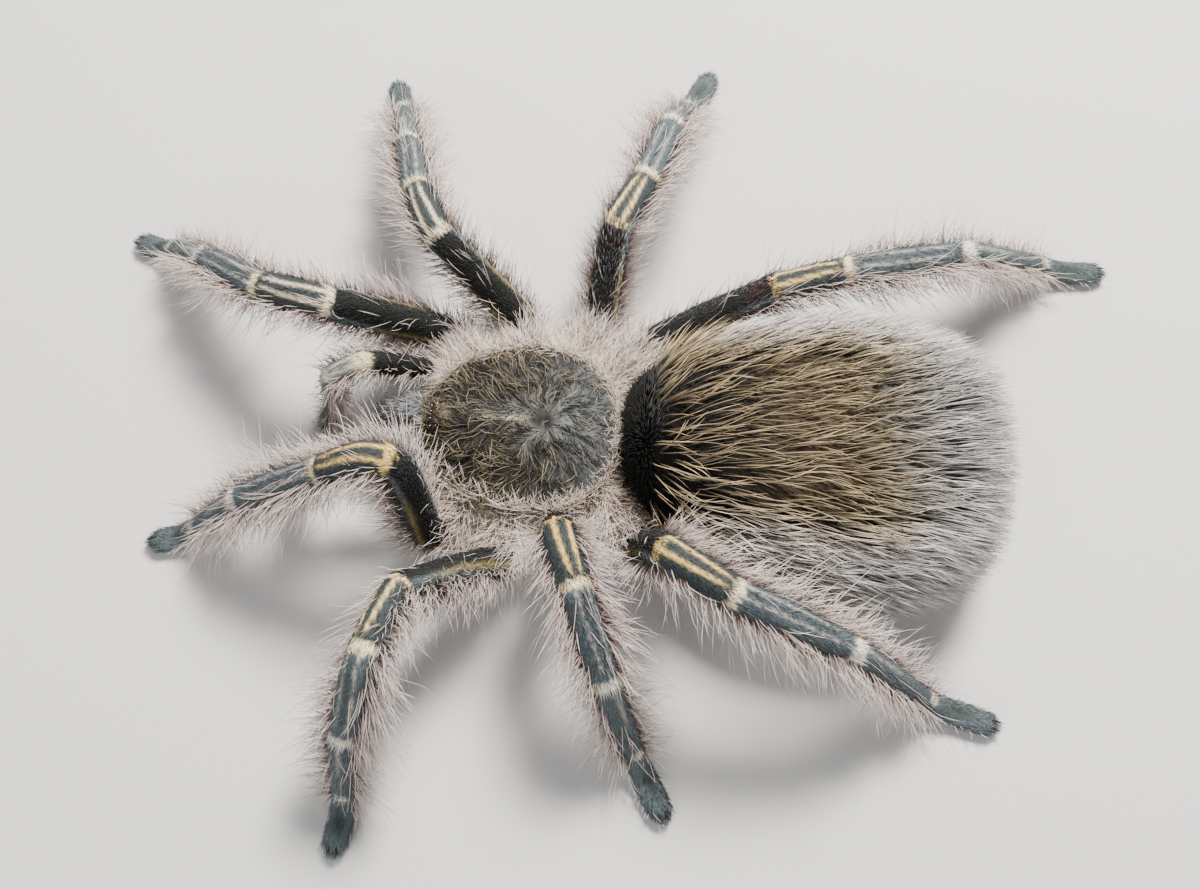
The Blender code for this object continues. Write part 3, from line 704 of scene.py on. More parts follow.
def egg_volume(rings=60, sides=72):
    """The abdomen drawn in by the depth of its long coat, flat below where it lies on its own hair."""
    t = np.linspace(0.004, 0.996, rings)[:, None] * np.ones((1, sides))
    a = np.linspace(0, 2 * math.pi, sides + 1)[None, :-1] * np.ones((rings, 1))
    return closed_grid(abdomen_place(t, a, ABDOMEN_DEPTH, floor=EGG_FLOOR))


JAW_WIDE = 2.1 * np.array([0.8, 0.9, 0.95, 1.0, 0.86, 0.55])
JAW_DEEP = 3.0 * np.array([0.4, 0.55, 0.85, 1.0, 0.86, 0.55])
JAW_CORNERS = [(2.3, -13.5, 6.6), (2.3, -19.1, 7.2), (2.3, -19.7, 2.0)]
SPINNERET_CORNERS = [(1.4, 49.0, 3.0), (2.2, 54.6, 1.5), (2.9, 57.0, 2.1)]
SPINNERET_RADIUS = (0.8, 0.7, 0.45)
CORE_BALLS = [((0, -2.2, 5.6), (9.0, 11.5, 2.9)),       # the middle and the halves of one under the shield,
              ((0, -13.0, 6.4), (4.0, 4.5, 2.2)),       # one behind the jaws
              ((0, 9.5, 6.8), (2.2, 7.0, 1.8))]         # and one in the waist
JAWS = {side: ShortLimb(f"jaw_{side}", on_side(JAW_CORNERS, side), 2.9, jaw_places,
                        JAW_WIDE, JAW_DEEP, rounded_tip=0.9) for side in SIGN}
SPINNERETS = {side: ShortLimb(f"spinneret_{side}", on_side(SPINNERET_CORNERS, side), 1.5, joint_places,
                              SPINNERET_RADIUS, SPINNERET_RADIUS, rounded_tip=0.6) for side in SIGN}
volumes = [limb_volume(limb, COAT_DEPTH) for limb in [*LEGS.values(), *PALPS.values()]]
volumes += [limb_volume(jaw, JAW_DEPTH) for jaw in JAWS.values()]
volumes += [limb_volume(spinneret, SPINNERET_DEPTH) for spinneret in SPINNERETS.values()]
volumes += [egg_volume()] + [ellipsoid(middle, half) for middle, half in CORE_BALLS]
print("volumes:", len(volumes))

# %% Skin out of the volumes
MELT = (0.5, -0.52, 0.5, -0.52, 0.5, -0.52, 0.5)        # in, then out again, so that nothing gets thin
SKIN_FLOOR = 0.05


def read_array(items, attribute, each, kind):
    """One attribute of all points, edges or corners of a mesh in a row, so many numbers for each."""
    values = np.empty(len(items) * each, kind)
    items.foreach_get(attribute, values)
    return values


def one_skin(parts):
    """All closed parts read as one volume and wrapped in a single even surface, then averaged smooth."""
    rough = put_in_scene("rough", mesh_from("rough", *joined(parts)))
    wrap = rough.modifiers.new("wrap", "REMESH")
    wrap.mode = "VOXEL"
    wrap.voxel_size = VOXEL
    wrap.adaptivity = 0.0
    graph = bpy.context.evaluated_depsgraph_get()
    wrapped = bpy.data.meshes.new_from_object(rough.evaluated_get(graph))
    co = read_array(wrapped.vertices, "co", 3, np.float32).reshape(-1, 3).astype(float)
    quads = read_array(wrapped.loops, "vertex_index", 1, np.int32).reshape(-1, 4)
    edges = read_array(wrapped.edges, "vertices", 2, np.int32).reshape(-1, 2)
    bpy.data.objects.remove(rough, do_unlink=True)
    both = np.concatenate([edges, edges[:, ::-1]])
    degree = np.bincount(both[:, 0], minlength=len(co))[:, None]
    for weight in MELT:
        near = gather(both[:, 0], co[both[:, 1]], len(co)) / degree
        co = co + weight * (near - co)
    co[:, 2] = np.maximum(co[:, 2], SKIN_FLOOR)
    return co, quads


skin_points, skin_faces = one_skin(volumes)
print("skin points:", len(skin_points), "faces:", len(skin_faces))

# %% [markdown]
# ## Whose skin is it?
# The wrapped surface no longer knows which part it came from. So every point looks for the limb, the
# egg or the jaw it lies nearest to, and takes that one's marking and region. The regions are used
# again when the hair of the hips and the jaws grows out of this skin.

# %% Markings and regions of the skin
CORE, EGG, HIPS, LIMBS, JAW_BASE = range(5)
REACH = 6.0                     # points this far outside a limb's own box are not measured
BLOCK = 4000                    # points measured at a time, to save memory
NEAR_CORE, NEAR_EGG = 0.9, 2.0  # how far from a limb the core begins, and how far the egg's skin may lie
EGG_HOLDS = 1.0                 # a limb has to be this much nearer to win a point from the egg
HIP_PART = 0.85                 # part of the first segment that counts as hip


def nearest_on(limb, points):
    """Length along the limb, way round it and distance from its surface, for points near it."""
    samples = np.arange(0, SAMPLES, 5)
    best = np.full(len(points), 1e9)
    s_at = np.zeros(len(points))
    phi_at = np.zeros(len(points))
    low, high = limb.p.min(axis=0) - REACH, limb.p.max(axis=0) + REACH
    close = np.where(np.all((points > low) & (points < high), axis=1))[0]
    for block in np.array_split(close, max(1, len(close) // BLOCK)):
        gap = np.linalg.norm(points[block, None] - limb.p[samples], axis=2)
        pick = samples[np.argmin(gap, axis=1)]
        forward = np.sum((points[block] - limb.p[pick]) * limb.t[pick], axis=1)
        s = np.clip(limb.s[pick] + forward, 0, limb.total)
        middle, _, back, side = limb.frame_at(s)
        away = points[block] - middle
        wide, deep, _ = limb.girth(s)
        phi_at[block] = np.arctan2(np.sum(away * side, axis=1), np.sum(away * back, axis=1))
        best[block] = np.linalg.norm(away, axis=1) - (wide + deep) / 2
        s_at[block] = s
    return s_at, phi_at, best


def nearest_on_egg(points):
    """How far along the abdomen, way round it and distance from its skin."""
    start, length = egg_ends(ABDOMEN_DEPTH)
    t = (points[:, 1] - start) / length
    inside = np.clip(t, 0.0, 1.0)
    middle_x, middle_z = egg_axis(inside)
    rise = points[:, 2] - middle_z
    tall = np.where(rise > 0, ABDOMEN_UP, ABDOMEN_DOWN) - ABDOMEN_DEPTH
    a = np.arctan2(rise / tall, (points[:, 0] - middle_x) / (ABDOMEN_HALF - ABDOMEN_DEPTH))
    off = np.linalg.norm(points - abdomen_place(inside, a, ABDOMEN_DEPTH), axis=1)
    return inside, a, np.where(t > -0.02, off, 1e9)


def paint_skin(points):
    """Each point takes the colour and the region of the limb, abdomen or core it lies nearest to."""
    # dark underside colour low down, pale hip grey higher up; the pale grey is partly painted light that
    # fills the shade under the shield's rim
    colour = mix(UNDERSIDE, HIP_GREY * 0.85, smooth(3.0, 6.0, points[:, 2]))
    region = np.full(len(points), CORE)
    best = np.full(len(points), NEAR_CORE)
    t, a, off = nearest_on_egg(points)
    mine = off < NEAR_EGG
    colour[mine], region[mine] = abdomen_colour(t, a)[mine], EGG
    best[mine] = np.minimum(best[mine], off[mine] - EGG_HOLDS)
    for key, limb in [*LEGS.items(), *PALPS.items(), *JAWS.items()]:
        s, phi, gap = nearest_on(limb, points)
        mine = gap < best
        place = np.where(s < HIP_PART * limb.joints[0], HIPS, LIMBS)
        if limb.name.startswith("leg"):
            made = leg_colour(limb, s, phi, GOLD_SHARE[key])
        elif limb.name.startswith("palp"):
            made = palp_colour(limb, s, phi)
        else:
            made, place = np.tile(JAW, (len(points), 1)), np.full(len(points), JAW_BASE)
        colour[mine], best[mine], region[mine] = made[mine], gap[mine], place[mine]
    return colour, region


def point_normals(points, quads):
    """Normal at each point: the crossed diagonals of the faces round it, added and made unit length."""
    a, b, c, d = (points[quads[:, k]] for k in range(4))
    return unit(gather(quads.ravel(), np.repeat(np.cross(c - a, d - b), 4, axis=0), len(points)))


skin_colour, skin_region = paint_skin(skin_points)
skin_normal = point_normals(skin_points, skin_faces)
print("points of core, egg, hips, limbs, jaws:", np.bincount(skin_region, minlength=5))
print("skin painted, mean colour", skin_colour.mean(axis=0).round(3))

# %% [markdown]
# ## Finishes
# Blender keeps a finish as a net of nodes. Here a small class wraps one output of that net, so that
# arithmetic on it adds the Math nodes, and one method makes any other node. The markings reach the
# finish as the colours stored on the points.


# %% Writing finishes as arithmetic
class Wire:
    """One output in a finish; arithmetic on it adds a Math node."""

    def __init__(self, finish, socket):
        self.finish, self.socket = finish, socket

    def math(self, operation, first, second):
        """A Math node on two wires or numbers."""
        return self.finish.node("ShaderNodeMath", {"operation": operation}, {0: first, 1: second})

    def __add__(self, other):
        return self.math("ADD", self, other)

    def __mul__(self, other):
        return self.math("MULTIPLY", self, other)

    def __sub__(self, other):
        return self.math("SUBTRACT", self, other)

    def __rsub__(self, other):
        return self.math("SUBTRACT", other, self)

    __radd__ = __add__
    __rmul__ = __mul__


class Finish:
    """A Principled finish; constants go on its own sockets, wires come from nodes."""

    def __init__(self, name, **constants):
        self.material = bpy.data.materials.new(name)
        self.material.use_nodes = True
        self.tree = self.material.node_tree
        self.shader = self.tree.nodes["Principled BSDF"]
        self.feed(**constants)

    def set(self, node, socket, value):
        """Links a wire to a socket, or writes a number, a vector or a colour on it."""
        if isinstance(value, Wire):
            self.tree.links.new(value.socket, node.inputs[socket])
        elif np.ndim(value) and len(node.inputs[socket].default_value) == 4:
            node.inputs[socket].default_value = (*[float(v) for v in value][:3], 1.0)
        elif np.ndim(value):
            node.inputs[socket].default_value = [float(v) for v in value]
        else:
            node.inputs[socket].default_value = value

    def node(self, kind, settings, inputs, output=0):
        """Any node: its settings first, then the values or wires of its sockets."""
        made = self.tree.nodes.new(kind)
        for name, value in settings.items():
            setattr(made, name, value)
        for socket, value in inputs.items():
            self.set(made, socket, value)
        return Wire(self, made.outputs[output])

    def feed(self, **sockets):
        """Values or wires for the Principled shader's sockets, underscores standing for spaces."""
        for socket, value in sockets.items():
            self.set(self.shader, socket.replace("_", " "), value)
        return self

    def noise(self, scale, detail):
        """A cloud of values round 0.5; the scale is in clouds per metre."""
        place = self.node("ShaderNodeTexCoord", {}, {}, "Object")
        return self.node("ShaderNodeTexNoise", {}, {"Vector": place, "Scale": scale, "Detail": detail}, "Fac")

    def markings(self):
        """The colours stored on the points."""
        return self.node("ShaderNodeAttribute", {"attribute_name": "markings"}, {}, "Color")

    def shade(self, colour, amount):
        """A colour made lighter or darker by a wire: colour * amount."""
        sockets = {0: colour, "Scale": amount}
        return self.node("ShaderNodeVectorMath", {"operation": "SCALE"}, sockets, "Vector")

    def blend(self, part, first, second):
        """The first colour where the wire is 0, the second where it is 1."""
        return self.node("ShaderNodeMix", {"data_type": "RGBA"}, {0: part, 6: first, 7: second}, 2)

    def height(self, wire, depth, strength):
        """A wire read as a relief of that depth in metres."""
        sockets = {"Strength": strength, "Distance": depth, "Height": wire}
        return self.node("ShaderNodeBump", {}, sockets, "Normal")


print("a finish can:", [name for name in vars(Finish) if not name.startswith("_")])

# %% [markdown]
# ## The finishes of this animal
# Hair has its colour from the markings and a soft sheen, the long hair a little more gloss. Skin and
# shield are the same colour made grainy: a fine cloud raises a relief and darkens the colour in its
# hollows, partly grain and partly painted shade. Eyes are near-black lenses under a clear coat, and
# fangs and claws are polished horn.


# %% The finishes
def hair_finish(name, roughness, sheen, shine):
    """Fur: the markings, with constant gloss and sheen."""
    finish = Finish(name, Roughness=roughness, Specular_IOR_Level=shine,
                    Sheen_Weight=sheen, Sheen_Roughness=0.4)
    return finish.feed(Base_Color=finish.markings()).material


def grain_and_hollow_shade_finish(name, roughness, shine, clouds, dark, gain, depth, strength):
    """The markings times dark + gain * cloud, and the same cloud as a relief, so its hollows get painted
    shade.
    """
    finish = Finish(name, Roughness=roughness, Specular_IOR_Level=shine)
    grain_and_shade = finish.noise(*clouds)
    return finish.feed(Base_Color=finish.shade(finish.markings(), dark + gain * grain_and_shade),
                       Normal=finish.height(grain_and_shade, depth, strength)).material


def eye_finish():
    """A near-black lens with a little brown in its depth, its gloss uneven, under a clear coat."""
    finish = Finish("eye_lens", Coat_Weight=1.0, Coat_Roughness=0.03)
    cloud = finish.noise(2400.0, 2.0)
    return finish.feed(Base_Color=finish.blend(cloud, (0.002, 0.002, 0.004), (0.016, 0.011, 0.009)),
                       Roughness=0.03 + 0.08 * cloud).material


def fang_finish():
    """Polished horn: black with red-brown clouds, duller and a little pitted where it is brown."""
    finish = Finish("fang_and_claw")
    cloud = finish.noise(1800.0, 4.0)
    polish = 1 - cloud
    return finish.feed(Base_Color=finish.blend(cloud, (0.004, 0.003, 0.003), (0.035, 0.018, 0.012)),
                       Roughness=0.38 - 0.36 * polish,
                       Normal=finish.height(cloud, 0.00003, 0.5)).material


HAIR = hair_finish("fur", 0.45, 0.02, 0.15)
LONG_HAIR = hair_finish("long_hair", 0.36, 0.08, 0.4)
SKIN = grain_and_hollow_shade_finish("skin_under_fur", 0.8, 0.2, clouds=(2600.0, 2.0), dark=0.45, gain=0.7,
                     depth=0.00015, strength=0.6)
SHIELD = grain_and_hollow_shade_finish("shield_plate", 0.55, 0.3, clouds=(1500.0, 4.0), dark=0.6, gain=0.8,
                       depth=0.0001, strength=0.5)
EYE = eye_finish()
FANG = fang_finish()
print("finishes:", [made.name for made in (HAIR, LONG_HAIR, SKIN, SHIELD, EYE, FANG)])

# %% The skin as one piece
FLESH = ["sternum", "pedicel", "abdomen"]
for side in SIGN:
    FLESH += [f"chelicera_{side}", f"spinneret_{side}"]
    FLESH += [f"palp_{side}_{part}" for part in ("thigh", "knee", "foot")]
    FLESH += [f"leg_{pair}_{side}_{part}" for pair in SEGMENTS for part in ("thigh", "knee", "shin", "foot")]
skin = show("skin", skin_points, skin_faces, SKIN, "slate_coat", skin_colour)
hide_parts(*FLESH)
print("solids that the skin stands for:", len(FLESH))

# %% [markdown]
# ## Growing hair
# A hair is a spine of a few points that leaves the skin at a lift, bends, and sways sideways. Round
# each spine point stand three corners that shrink to the tip, and a cap closes the root. All the
# hairs of a coat are worked out together: arrays of N hairs by k spine points. Blender's own hair
# would be quicker to comb, but it is only drawn, not solid, and the coat has to be a closed mesh.
# Each hair also gets a tiny patch on the bake map, placed where its root lies when the skin is
# unrolled flat.

# %% Hair as arrays
PATCH = 0.003                   # size of one hair's patch on the bake map
BURY = 0.12                     # depth of the root under the skin
ROOM = 0.02                     # part of each side that a hair may stand out of the solids' box
SINK = 0.5                      # how far below the floor a hair may aim before it is left out
CLEAR = 0.3                     # hair that comes nearer to the floor than this is eased along it
EVEN_STEPS = (0.7548776662, 0.5698402910)       # 1/p and 1/p^2 for the number p with p^3 = p + 1


class Coat:
    """Many closed hairs gathered into one piece."""

    total = 0

    def __init__(self, name, seed):
        self.name = name
        self.dice = np.random.default_rng(seed)
        self.blocks = []

    def grow(self, root, normal, lie, length, width, lift, bend, sway, base, tip, chart, rings=3):
        """Spine: steps of length/k at angle lift + bend f above the lie, turned sideways by sway f."""
        n = len(root)
        f = (np.arange(rings) + 0.5) / rings
        rise = lift[:, None] + bend[:, None] * f
        turn = sway[:, None] * f
        across = unit(np.cross(lie, normal))
        sine, cosine = np.sin(turn)[..., None], np.cos(turn)[..., None]
        ahead = cosine * lie[:, None] + sine * across[:, None]
        aside = cosine * across[:, None] - sine * lie[:, None]
        run = np.cos(rise)[..., None] * ahead + np.sin(rise)[..., None] * normal[:, None]
        spine = np.cumsum(np.concatenate([(root - normal * BURY)[:, None],
                                          run * (length / rings)[:, None, None]], axis=1), axis=1)
        over = unit(np.cross(run, aside))
        taper = (1 - np.arange(rings) / rings) ** 0.6
        half = (0.5 * width[:, None] * taper)[..., None, None]
        corner = 2 * math.pi * np.arange(3) / 3 - math.pi / 2
        around = np.cos(corner)[:, None] * aside[:, :, None] + np.sin(corner)[:, None] * over[:, :, None]
        rings_at = spine[:, :-1, None] + half * around
        points = np.concatenate([rings_at.reshape(n, rings * 3, 3), spine[:, -1:]], axis=1)
        part = np.concatenate([np.repeat(np.arange(rings) / rings, 3), [1.0]])
        colour = base[:, None] * (1 - part[:, None]) + tip[:, None] * part[:, None]
        spread = np.concatenate([np.tile([0.0, 0.5, 1.0], rings), [0.5]])
        chart = chart * (1 - PATCH)
        uv = np.stack([chart[:, :1] + PATCH * spread, chart[:, 1:] + PATCH * part], axis=-1)
        side = BOX_HIGH - BOX_LOW
        low, high = points.min(axis=1), points.max(axis=1)
        keep = np.all((low > BOX_LOW - ROOM * side - (0, 0, SINK)) & (high < BOX_HIGH + ROOM * side), axis=1)
        z = points[..., 2]
        points[..., 2] = np.where(z < CLEAR, CLEAR * np.exp(np.minimum(z, CLEAR) / CLEAR - 1), z)
        self.blocks.append((points[keep], colour[keep], uv[keep], rings))

    @staticmethod
    def triangles(rings):
        """Faces of one hair: walls between rings, a tip and a cap on the root."""
        m = np.arange(3)
        after = (m + 1) % 3
        walls = []
        for j in range(rings - 1):
            walls.append(np.stack([3 * j + m, 3 * j + after, 3 * j + 3 + after], axis=1))
            walls.append(np.stack([3 * j + m, 3 * j + 3 + after, 3 * j + 3 + m], axis=1))
        last = 3 * (rings - 1)
        walls.append(np.stack([last + m, last + after, np.full(3, 3 * rings)], axis=1))
        walls.append(np.array([[0, 2, 1]]))
        return np.concatenate(walls)

    def make(self, finish, slot):
        """All blocks joined into one piece with its colours and its bake map."""
        parts = []
        for p, _, _, rings in self.blocks:
            first = (3 * rings + 1) * np.arange(len(p))[:, None, None]
            parts.append((p.reshape(-1, 3), (self.triangles(rings)[None] + first).reshape(-1, 3)))
        points, faces = joined(parts)
        colours = np.concatenate([colour.reshape(-1, 3) for _, colour, _, _ in self.blocks])
        maps = np.concatenate([uv.reshape(-1, 2) for _, _, uv, _ in self.blocks])
        piece = show(self.name, points, faces, finish, slot, np.clip(colours, 0, 1))
        layer = piece.data.uv_layers.new(name="OFBake")
        layer.data.foreach_set("uv", maps[faces.ravel()].astype(np.float32).ravel())
        Coat.total += len(faces)


def even(count, dice):
    """Two numbers per hair that cover the unit square evenly: steps of two irrational lengths."""
    i = np.arange(count)
    jitter = dice.uniform(-0.5, 0.5, (2, count)) / math.sqrt(count) * 0.8
    return [(i * step + dice.random() + moved) % 1.0 for step, moved in zip(EVEN_STEPS, jitter)]


def drawn(weight, count, dice):
    """Numbers of the places picked, in order, each as likely as its weight."""
    return np.sort(dice.choice(len(weight), count, replace=False, p=weight / weight.sum()))


def turned(lie, normal, angle):
    """A lie turned round the normal by an angle."""
    angle = angle[:, None]
    return np.cos(angle) * lie + np.sin(angle) * np.cross(normal, lie)


def lighter(colour, dice, low, high):
    """Each hair's colour times its own brightness."""
    return colour * dice.uniform(low, high, (len(colour), 1))


print("faces of a hair with 1, 2 and 3 rings:", [len(Coat.triangles(rings)) for rings in (1, 2, 3)])

# %% [markdown]
# ## The coat of the legs
# Short fur lies along the leg and carries the markings. Long pale hairs stand out from the sides and
# the underside and curve towards the foot. They are what makes the animal look soft, so they get
# most of the triangles. The short fur needs only one ring per hair, because nobody sees it bend.
# Its roots are spread evenly, so that it covers; the long hair's are drawn by chance, so that it does
# not stand in rows.

# %% Coat of one limb
FUR_DEPTH = COAT_DEPTH + 0.05


def limb_fur(coat, limb, count, colour_of, lengths, width=0.15):
    """Short fur: even places on the tube, lying along it, coloured by the markings at the root."""
    dice = coat.dice
    u, v = even(count, dice)
    s = 0.2 + u * (limb.total - 0.4)
    phi = 2 * math.pi * v - math.pi
    number, t = limb.segment(s)
    keep = (number > 0) | (t > 0.4)
    s, phi, number, t, u, v = [values[keep] for values in (s, phi, number, t, u, v)]
    root, normal, along = limb.surface(s, phi, FUR_DEPTH)
    n = len(s)
    lie = turned(flat_on(along, normal), normal, 0.16 * wobble(root, 5.0, 3) + dice.normal(0, 0.1, n))
    colour = lighter(colour_of(s, phi), dice, 0.6, 1.35)
    tall = lengths[number] * (1 + 0.7 * (limb.name in TUFTED) * (number == 1) * smooth(0.8, 0.92, t))
    coat.grow(root, normal, lie, tall * dice.uniform(0.75, 1.25, n), width * dice.uniform(0.8, 1.2, n),
              dice.uniform(0.2, 0.42, n), dice.uniform(-0.2, 0.0, n), dice.normal(0, 0.1, n),
              colour, colour * 1.25 + 0.012, np.stack([u, v], axis=1), rings=1)


def limb_long(coat, limb, count, lengths, shares, round_share, width=0.15):
    """Long hair: drawn by a share per segment and round the limb, curving out and towards the foot."""
    dice = coat.dice
    s = dice.uniform(0.3, limb.total - 0.3, count * 5)
    phi = dice.uniform(-math.pi, math.pi, count * 5)
    number, t = limb.segment(s)
    a = round_from_back(phi)
    share = np.where((number == 0) & (t < 0.35), 0.0, shares[number])
    pick = drawn(share * round_share(number, a) + 1e-6, count, dice)
    s, phi, number, a = s[pick], phi[pick], number[pick], a[pick]
    root, normal, along = limb.surface(s, phi, FUR_DEPTH)
    lie = turned(flat_on(along, normal), normal, 0.3 * wobble(root, 4.0, 4) + dice.normal(0, 0.2, count))
    long_one = dice.random(count) < 0.22
    reach = np.where(long_one, dice.uniform(1.25, 1.75, count), dice.uniform(0.55, 1.1, count))
    stand = 0.55 + 0.6 * smooth(0.8, 1.5, a)
    base = lighter(np.tile(PINK_DARK, (count, 1)), dice, 0.3, 1.1)
    tip = mix(PINK, PINK_PALE, dice.random(count) ** 0.7)
    coat.grow(root, normal, lie, lengths[number] * reach,
              width * dice.uniform(0.75, 1.15, count) * np.where(long_one, 0.8, 1.0),
              stand + dice.normal(0, 0.2, count), -dice.uniform(0.2, 0.9, count), dice.normal(0, 0.3, count),
              base, tip, np.stack([s / limb.total, (phi + math.pi) / (2 * math.pi)], axis=1))


def leg_round_share(number, a):
    """Long hair stands on the sides and underneath and thins out on the back, less so on the hip."""
    edge = 0.85 + 0.4 * (number == 1)
    share = 0.025 + smooth(edge, edge + 0.45, a) * (1 - 0.45 * smooth(2.2, 3.0, a))
    return np.where(number == 0, 0.4 + 0.6 * share, share)


def palp_round_share(number, a):
    """A feeler is hairy all round on every segment, most on its sides and underneath."""
    return 0.15 + smooth(0.7, 1.3, a)


print("long hair on a shin, back to underside:", leg_round_share(3, np.linspace(0, math.pi, 5)).round(2))


# %% The ten coats
# Lengths of the short and the long hair on each segment from the hip on, and the share that grows there.
LEG_SHORT = np.array([1.5, 1.2, 1.05, 1.2, 1.15, 1.1])
LEG_LONG = np.array([4.3, 4.4, 4.2, 5.3, 4.7, 1.5])
LEG_SHARE = np.array([1.6, 1.0, 0.7, 1.0, 0.9, 0.1])
PALP_SHORT = np.array([1.3, 1.1, 1.0, 1.0, 0.9])
PALP_LONG = np.array([3.0, 2.6, 3.2, 3.4, 2.6])
PALP_SHARE = np.array([1.5, 0.8, 1.0, 1.2, 1.0])
LEG_HAIRS = (8000, 3300)        # short and long hairs on one leg
PALP_HAIRS = (3600, 1500)
for order, (key, limb) in enumerate(LEGS.items()):
    coat = Coat(f"coat_{limb.name}", seed=100 + order)
    limb_fur(coat, limb, LEG_HAIRS[0], lambda s, phi: leg_colour(limb, s, phi, GOLD_SHARE[key]), LEG_SHORT)
    limb_long(coat, limb, LEG_HAIRS[1], LEG_LONG, LEG_SHARE, leg_round_share)
    coat.make(LONG_HAIR, "slate_coat")
for order, limb in enumerate(PALPS.values()):
    coat = Coat(f"coat_{limb.name}", seed=200 + order)
    limb_fur(coat, limb, PALP_HAIRS[0], lambda s, phi: palp_colour(limb, s, phi), PALP_SHORT)
    limb_long(coat, limb, PALP_HAIRS[1], PALP_LONG, PALP_SHARE, palp_round_share)
    coat.make(LONG_HAIR, "slate_coat")
print("coat faces so far:", Coat.total)

# %% [markdown]
# ## The coat of the abdomen
# Black velvet lies under everything, and stands up as a ruff behind the waist. Over it run the long
# locks: tan ones that rise in front and cross the back, then dense pale ones on the sides and the
# rear that fan outwards. Locks form because neighbouring hairs read the same slow wobble for their
# turn. The long hair is split in two pieces, to keep each below the limit on faces.


# %% Abdomen: where hair points
def along_egg(share):
    """How far back on the egg, with places spread evenly over its rounded ends: (1 - cos(pi share)) / 2."""
    return 0.5 - 0.5 * np.cos(math.pi * share)


def abdomen_lie(a, normal):
    """Hair aims back and a little away from the egg's axis; its lift is the angle to the skin."""
    out = np.stack([np.cos(a), np.zeros_like(a), np.sin(a)], axis=1)
    aim = unit(np.array([0, 1.0, 0]) + 0.38 * out)
    lift = np.arcsin(np.clip(np.sum(aim * normal, axis=1), -1, 1))
    return flat_on(aim, normal), np.clip(lift, 0.1, 1.15)


def abdomen_fur(coat, count):
    """Short velvet all round, in the colours of the markings, standing up on the foremost part."""
    dice = coat.dice
    u, v = even(count, dice)
    t, a = along_egg(0.012 + 0.97 * u), 2 * math.pi * v
    root, normal = abdomen_surface(t, a, ABDOMEN_DEPTH + 0.05)
    lie = turned(abdomen_lie(a, normal)[0], normal, 0.2 * wobble(root, 7.0, 5) + dice.normal(0, 0.12, count))
    colour = lighter(abdomen_colour(t, a), dice, 0.6, 1.5)
    ruff = 1 - smooth(0.015, 0.07, t)
    coat.grow(root, normal, lie, dice.uniform(1.3, 2.1, count) * (1 + 0.4 * ruff),
              dice.uniform(0.2, 0.3, count), dice.uniform(0.2, 0.42, count) + 0.6 * ruff,
              dice.uniform(-0.25, 0.0, count), dice.normal(0, 0.2, count),
              colour, colour * 1.25 + 0.004, np.stack([t, v], axis=1), rings=1)


def abdomen_long(coat, count):
    """Long locks: tan over the black front, pale pink and white on the sides and the rear."""
    dice = coat.dice
    t = along_egg(dice.uniform(0.14, 0.985, count * 4))
    a = dice.uniform(-0.8, math.pi + 0.8, count * 4)
    off_top = np.abs(a - math.pi / 2)
    middle = (1 - smooth(0.35, 0.7, off_top)) * bump_at(t, 0.56, 0.13)
    side_share = smooth(0.55, 1.0, off_top)
    dense = (0.075 + 0.06 * middle + 0.1 * smooth(0.5, 0.7, t) + 0.5 * side_share * smooth(0.06, 0.3, t)
             + 0.3 * smooth(0.82, 0.95, t))
    pick = drawn(fullness(t, 0.02) * dense, count, dice)
    t, a, middle, side_share = [values[pick] for values in (t, a, middle, side_share)]
    root, normal = abdomen_surface(t, a, ABDOMEN_DEPTH)
    lie, lift = abdomen_lie(a, normal)
    lock = 0.1 * wobble(root, 6.0, 7) + 0.12 * wobble(root, 1.6, 6)
    lie = turned(lie, normal, lock + dice.normal(0, 0.04, count))
    length = dice.uniform(5.2, 8.2, count) * (1 - 0.3 * middle) * (1 - 0.35 * smooth(0.85, 1.0, t))
    pale = np.clip(side_share * smooth(0.08, 0.28, t) + smooth(0.58, 0.78, t), 0, 1)
    tone = dice.uniform(0.5, 1.2, (count, 1)) * (0.88 + 0.34 * wobble(root, 1.1, 9))[:, None]
    tip = mix(TAN, PINK_PALE, pale) * tone
    coat.grow(root, normal, lie, length, dice.uniform(0.17, 0.28, count),
              0.9 * np.clip(lift - 0.1, 0, 1.0) + dice.uniform(0.2, 0.42, count),
              -dice.uniform(0.2, 0.5, count), 0.36 * wobble(root, 2.6, 8) + dice.normal(0, 0.09, count),
              tip * 0.16, tip, np.stack([t, a / (2 * math.pi) + 0.25], axis=1))


coat = Coat("coat_abdomen_velvet", seed=300)
abdomen_fur(coat, count=20000)
coat.make(HAIR, "abdomen_coat")
for layer in range(2):
    coat = Coat(f"coat_abdomen_long_{layer + 1}", seed=310 + layer)
    abdomen_long(coat, count=6850)
    coat.make(LONG_HAIR, "abdomen_coat")
print("coat faces so far:", Coat.total)

# %% [markdown]
# ## The head shield
# A dome with a pit, from which shallow grooves run out between the muscles, and a raised head region
# that carries the eye mound. It is a plate of its own, closed underneath, as the real one is. The
# grid runs in rings from the pit to the rim, so it is finest where the pit and the grooves meet.

# %% Relief and markings of the shield
GROOVES = (0.62, 1.45, 2.05, 2.7)        # bearings of the grooves on each side, 0 is forward
GROOVE_DEPTH = 0.2
GROOVE_WIDTH, SHADE_WIDTH = 0.075, 0.13         # of the grooves and of their dark lines, as bearings


def bearing_of(x, y):
    """Direction of a place seen from the pit: 0 forward, pi backward, the same on both sides."""
    return np.abs(np.arctan2(x, -y))


def shield_relief(x, y, part):
    """Dome height less shallow grooves along fixed bearings: depth * exp(-(bearing gap / width)^2)."""
    grooves = sum(bump_at(bearing_of(x, y), g, GROOVE_WIDTH) for g in GROOVES)
    reach = smooth(0.1, 0.25, part) * (1 - smooth(0.62, 0.9, part))
    return shield_height(x, y, part) - GROOVE_DEPTH * grooves * reach


